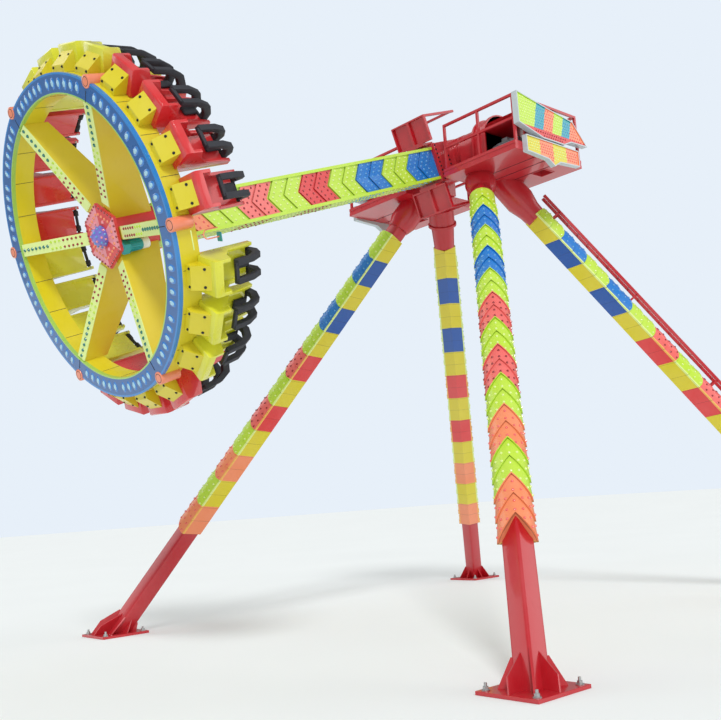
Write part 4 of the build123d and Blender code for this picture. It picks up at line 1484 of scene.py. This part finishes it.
    def hub_face(self, palette: Palette) -> None:
        """Dresses the star plate with pink and red tiles and rows of lamps."""
        tones = (Tone.MAROON, Tone.ORANGE, Tone.PINK, Tone.SKY)
        tiles = Piece("hub_tiles", palette.pink, palette.panel_red)
        lamps = Piece("hub_lamps", *(palette.lamp(tone) for tone in tones))
        centre = self.spot(0.0, 0.0, self.hub_level)
        flat = Place(centre.origin, centre.x, -centre.y, -centre.z)
        for index in range(self.spokes):
            low, high = radians(30 + 60 * index), radians(90 + 60 * index)
            ends = ((0.17, low), (0.49, low), (0.49, high), (0.17, high))
            outline = [(reach * cos(turn), reach * sin(turn)) for reach, turn in ends]
            tiles.sheet(flat, outline, -0.001, 0.012, index % 2)
            for reach, count, radius, height, slot in self.hub_rows:
                for step in range(count):
                    share = (step + 0.5) / count
                    x = reach * (cos(low) * (1 - share) + cos(high) * share)
                    y = reach * (sin(low) * (1 - share) + sin(high) * share)
                    lamps.lamp(flat.at(x, y, 0.011), radius, height, slot)
            turn = (low + high) / 2
            lamps.lamp(flat.at(0.235 * cos(turn), 0.235 * sin(turn), 0.011), 0.030, 0.022, 2)
        for radius, drop, count in self.dome_rows:
            tilt = Matrix.Rotation(-atan2(radius, drop + 0.03), 4, "Y").inverted()
            for index in range(count):
                spot = self.spot(360.0 * index / count, radius, self.hub_level - drop)
                lamps.lamp(self.down(spot.at(0, 0, 0)) @ tilt, 0.019, 0.018, 2 if index % 2 else 3)
        tiles.finish("gondola", "red_plastic")
        lamps.finish("gondola", "lamp_cover")

    def small_parts(self, palette: Palette) -> None:
        """Adds pedestal bolts and weld seams in the drum."""
        bolts = Piece("pedestal_bolts_and_shade", palette.dark_bolt)
        slant = Matrix.Rotation(radians(135), 4, "Y")
        # The pedestal bolts are black: partly the bolts' own dark finish, partly painted shade for the dark
        # hollow beside each pedestal.
        for angle in self.seat_angles():
            for across in (-0.125, 0.125):
                spot = self.spot(angle, 2.630, 0.250).at(0, across, 0) @ slant
                bolts.bolt(spot, 0.014, 0.014)
                bolts.bolt(self.down(self.spot(angle, 2.47, 0.120).at(0, across, 0)), 0.014, 0.014)
        bolts.finish("gondola", "red_steel")
        seams = Piece("drum_seams", palette.seam)
        for index in range(24):
            angle = 15.0 * index
            if index % 4:
                spot = self.spot(angle, self.inner - 0.001, 0.21)
                seams.bar(spot.at(0, 0, 0), (0.004, 0.007, 0.29), 0, 0.001)
            spot = self.spot(angle, self.ring + 0.001, 0.215)
            seams.bar(spot.at(0, 0, 0), (0.004, 0.006, 0.27), 0, 0.001)
        seams.finish("gondola", "yellow_steel")

    def tubes(self, palette: Palette) -> None:
        """Builds the tubes at the joints between the sectors, with their end rings."""
        piece = Piece("joint_tube_ends", palette.salmon, palette.seam)
        for index in range(self.spokes):
            place = self.spot(60.0 * index, self.ring, 0.0)
            piece.drum(place.at(0, 0, -0.0123), self.tube, self.tube_top + 0.0123, 0, 32, 0.006)
            piece.drum(place.at(0, 0, -0.0133), self.tube * 0.72, 0.004, 1, 32)
            piece.drum(place.at(0, 0, -0.0143), self.tube * 0.62, 0.004, 0, 32)
        piece.finish("gondola", "orange_plastic", ["joint_tubes"])

    def panel_box(self, palette: Palette) -> None:
        """Builds the blank panel's curved box, which clears the tube beside it."""
        piece = Piece("joint_panel_box", palette.lime)
        flat = self.spot(0.0, 0.0, 0.0)
        for first, last, low, high in self.panel_steps:
            turns = [radians(first + (last - first) * step / 6) for step in range(7)]
            outer = [(self.panel_front * cos(turn), self.panel_front * sin(turn)) for turn in turns]
            inner = [(self.panel_back * cos(turn), self.panel_back * sin(turn)) for turn in reversed(turns)]
            piece.sheet(flat, outer + inner, low, high - low)
        piece.finish("gondola", "lime_plastic", ["joint_panel"], 30.0)

    def blank_panel(self, palette: Palette) -> None:
        """Adds the raised orange loop, the edge trim and the teal cap of the blank panel."""
        piece = Piece("panel_trim", palette.salmon, palette.teal, palette.pale_lime)
        mesh, place, side = piece.mesh, self.spot(295.2, 2.561, 0.42), 0.17
        start = place.at(0, 0.062, 0) @ Matrix.Translation((0.0, 0.0, side))
        ring = bmesh.ops.create_circle(mesh, cap_ends=False, segments=8, radius=0.009, matrix=start)
        edges = list({link for vert in ring["verts"] for link in vert.link_edges})
        loop = bmesh.ops.extrude_edge_only(mesh, edges=edges)["geom"]
        bmesh.ops.translate(mesh, verts=only(Vert, loop), vec=-place.z * side)
        turned = spin(mesh, only(Vert, loop) + only(Edge, loop), place.origin, place.x, -pi, 12)
        grown = bmesh.ops.extrude_edge_only(mesh, edges=only(Edge, turned["geom_last"]))["geom"]
        bmesh.ops.translate(mesh, verts=only(Vert, grown), vec=place.z * side)
        bmesh.ops.recalc_face_normals(mesh, faces=mesh.faces[:])
        piece.bar(self.spot(293.5, 2.49, 0.648).at(0, 0, 0), (0.10, 0.13, 0.016), 1, 0.005)
        piece.bar(self.spot(294.5, 2.555, 0.18).at(0, 0, 0), (0.012, 0.26, 0.016), 2, 0.004)
        piece.finish("gondola", "lime_plastic")

    def motor_trim(self, palette: Palette) -> None:
        """Adds the pale fan cowl and fins of the slewing motor."""
        piece = Piece("slew_motor_cowl", palette.white, palette.teal)
        place = self.spot(270.0, 0.425, 0.0)
        piece.drum(place.at(0, 0, 0.70), 0.086, 0.12, 0, 24, 0.012)
        for index in range(16):
            turn = Matrix.Rotation(2 * pi * index / 16, 4, "Z") @ Matrix.Translation((0.084, 0, 0))
            piece.bar(place.at(0, 0, 0.59) @ turn, (0.016, 0.006, 0.19), 1, 0.002)
        piece.finish("gondola", "teal_casting")

    def seats(self, palette: Palette) -> None:
        """Rounds the moulded seat shells and adds their headrests and the headrests' bolts."""
        for name, finish in (("red_seats", palette.shell_red), ("yellow_seats", palette.shell_yellow)):
            piece = Piece(f"{name}_shells", finish)
            rounded_copy(piece, name, 0, 0.014, 2)
            piece.finish("gondola", "red_plastic" if name == "red_seats" else "lime_plastic", [name], 50.0)
        rests = Piece("headrests", palette.foam, palette.zinc)
        inwards = Matrix.Rotation(-pi / 2, 4, "Y")
        for angle in self.seat_angles():
            rests.bar(self.spot(angle, 2.412, 1.01).at(0, 0, 0), (0.052, 0.155, 0.22), 0, 0.018)
            for across in (-0.2261, 0.2261):
                rests.bolt(self.spot(angle, 2.30, 1.17).at(0, across, 0) @ inwards, 0.012, 0.012, 1)
        made = rests.finish("gondola", "dark_foam")

    def restraints(self, palette: Palette) -> None:
        """Rounds each rider's restraint."""
        for index in range(len(self.seat_angles())):
            node = f"restraint_{index + 1:02d}"
            piece = Piece(f"{node}_foam", palette.foam, palette.zinc)
            rounded_copy(piece, node, 0, 0.012, 2)
            made = piece.finish(node, "dark_foam", [node], 50.0)

    def build(self, palette: Palette) -> None:
        """Builds and dresses the whole gondola."""
        self.paint(palette)
        self.ring_lamps(palette)
        self.spoke_faces(palette)
        self.hub_face(palette)
        self.small_parts(palette)
        self.tubes(palette)
        self.panel_box(palette)
        self.blank_panel(palette)
        self.motor_trim(palette)
        self.seats(palette)
        self.restraints(palette)


@dataclass
class Studio:
    """Camera, lamps, floor and the pale surroundings."""

    focal: float = 918.7
    middle: tuple[float, float] = (416.4, 300.0)
    size: tuple[int, int] = (721, 720)
    yaw: float = 43.72
    pitch: float = 12.08
    roll: float = -3.78
    eye: Point = (-13.59, -12.68, 2.25)
    sensor: float = 36.0
    backdrop: Colour = (0.80, 0.87, 0.95)
    ambient: float = 0.62
    sheen: float = 0.30
    lamps: tuple[tuple[Point, float, float], ...] = (
        ((-0.55, -0.75, 0.75), 1.55, 14.0),
        ((0.75, -0.60, 0.35), 0.55, 40.0),
        ((-0.30, 0.80, 0.60), 0.40, 40.0),
    )

    def camera(self) -> None:
        """Sets the camera at the photograph's angle and framing."""
        data = bpy.data.cameras.new("photo_camera")
        data.sensor_fit = "HORIZONTAL"
        data.sensor_width = self.sensor
        data.lens = self.focal * self.sensor / self.size[0]
        data.shift_x = (self.size[0] / 2 - self.middle[0]) / self.size[0]
        data.shift_y = (self.middle[1] - self.size[1] / 2) / self.size[0]
        data.clip_end = 500.0
        yaw, pitch, roll = radians(self.yaw), radians(self.pitch), radians(self.roll)
        ahead = Vector((sin(yaw) * cos(pitch), cos(yaw) * cos(pitch), sin(pitch)))
        level = Vector((cos(yaw), -sin(yaw), 0.0))
        above = level.cross(ahead)
        right = level * cos(roll) + above * sin(roll)
        over = above * cos(roll) - level * sin(roll)
        made = add_object("photo_camera", data)
        turn = Matrix((right, over, -ahead)).transposed().to_4x4()
        made.matrix_world = Matrix.Translation(self.eye) @ turn
        bpy.context.scene.camera = made

    def lights(self) -> None:
        """Adds soft lamps from above and two weaker ones from the sides."""
        for index, (towards, power, spread) in enumerate(self.lamps):
            data = bpy.data.lights.new(f"soft_lamp_{index}", "SUN")
            data.energy = power
            data.angle = radians(spread)
            made = add_object(f"soft_lamp_{index}", data)
            made.rotation_euler = Vector(towards).to_track_quat("Z", "Y").to_euler()

    def surroundings(self) -> None:
        """Lights the world evenly and shows a pale backdrop."""
        world = bpy.data.worlds.new("pale_surroundings")
        world.use_nodes = True
        world.node_tree.nodes.clear()
        tree = Tree(world.node_tree)
        path = tree.node("LightPath")
        seen = tree.math("MAXIMUM", path.outputs["Is Camera Ray"], path.outputs["Is Transmission Ray"])
        # Gloss sees a dimmer world, or pale reflections would wash out the paint.
        gloss = path.outputs["Is Glossy Ray"]
        unseen = tree.node("MapRange", Value=gloss, To_Min=self.ambient, To_Max=self.sheen).outputs[0]
        strength = tree.node("MapRange", Value=seen, To_Min=unseen, To_Max=1.0).outputs[0]
        colour = tree.mix(seen, (1.0, 1.0, 1.0, 1.0), (*self.backdrop, 1.0))
        shade = tree.node("Background", Color=colour, Strength=strength)
        sink = tree.node("OutputWorld")
        world.node_tree.links.new(shade.outputs[0], sink.inputs["Surface"])
        bpy.context.scene.world = world

    def floor(self) -> None:
        """Lays the plain pale floor."""
        mesh = bmesh.new()
        bmesh.ops.create_grid(mesh, x_segments=1, y_segments=1, size=160.0)
        data = bpy.data.meshes.new("pale_floor")
        mesh.to_mesh(data)
        mesh.free()
        finish = Paint("pale_floor_finish", Tone.WHITE, 0.8, 0.0, 0.0, 0.1, 0.0, 0.2, 3.0, 0.02)
        data.materials.append(finish.material())
        add_object("pale_floor", data)

    def build(self) -> None:
        """Builds the whole stage."""
        self.camera()
        self.lights()
        self.surroundings()
        self.floor()
        bpy.context.scene.view_settings.view_transform = "Standard"


def legs() -> list[Leg]:
    """The four legs with their bands and collars, as the photograph shows them."""
    collars = (
        ((0.0, 0.235), (0.11, 0.300), (0.26, 0.315), (0.40, 0.285), (0.50, 0.225)),
        ((0.0, 0.300), (0.48, 0.310), (0.76, 0.240), (1.0, 0.225)),
        ((0.0, 0.290), (0.52, 0.290), (0.70, 0.225)),
        ((0.0, 0.280), (0.33, 0.280), (0.345, 0.315), (0.40, 0.315), (0.415, 0.255), (0.90, 0.225)),
    )
    return [
        Leg("front_left", -1, -1, low=1.98, step=0.638, end=9.90, collar=collars[0]),
        Leg("front_right", 1, -1, low=1.69, step=0.662, end=9.70, collar=collars[1]),
        Leg("rear_left", -1, 1, low=2.31, step=0.608, end=9.70, collar=collars[2]),
        Leg("rear_right", 1, 1, low=1.88, step=0.637, end=9.70, collar=collars[3]),
    ]


def corners(bounds: Iterable[Iterable[float]]) -> list[list[float]]:
    """A box's two corners as plain lists of numbers."""
    return [[float(value) for value in corner] for corner in bounds]


def main() -> None:
    """Builds the stage and each sub-assembly in order."""
    logging.basicConfig(level=logging.INFO, format="%(message)s")
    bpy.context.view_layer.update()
    Studio().build()
    palette = Palette()
    for leg in legs():
        leg.build(palette)
    Tower().build(palette)
    Arm().build(palette)
    Gondola().build(palette)


if __name__ == "__main__":
    main()
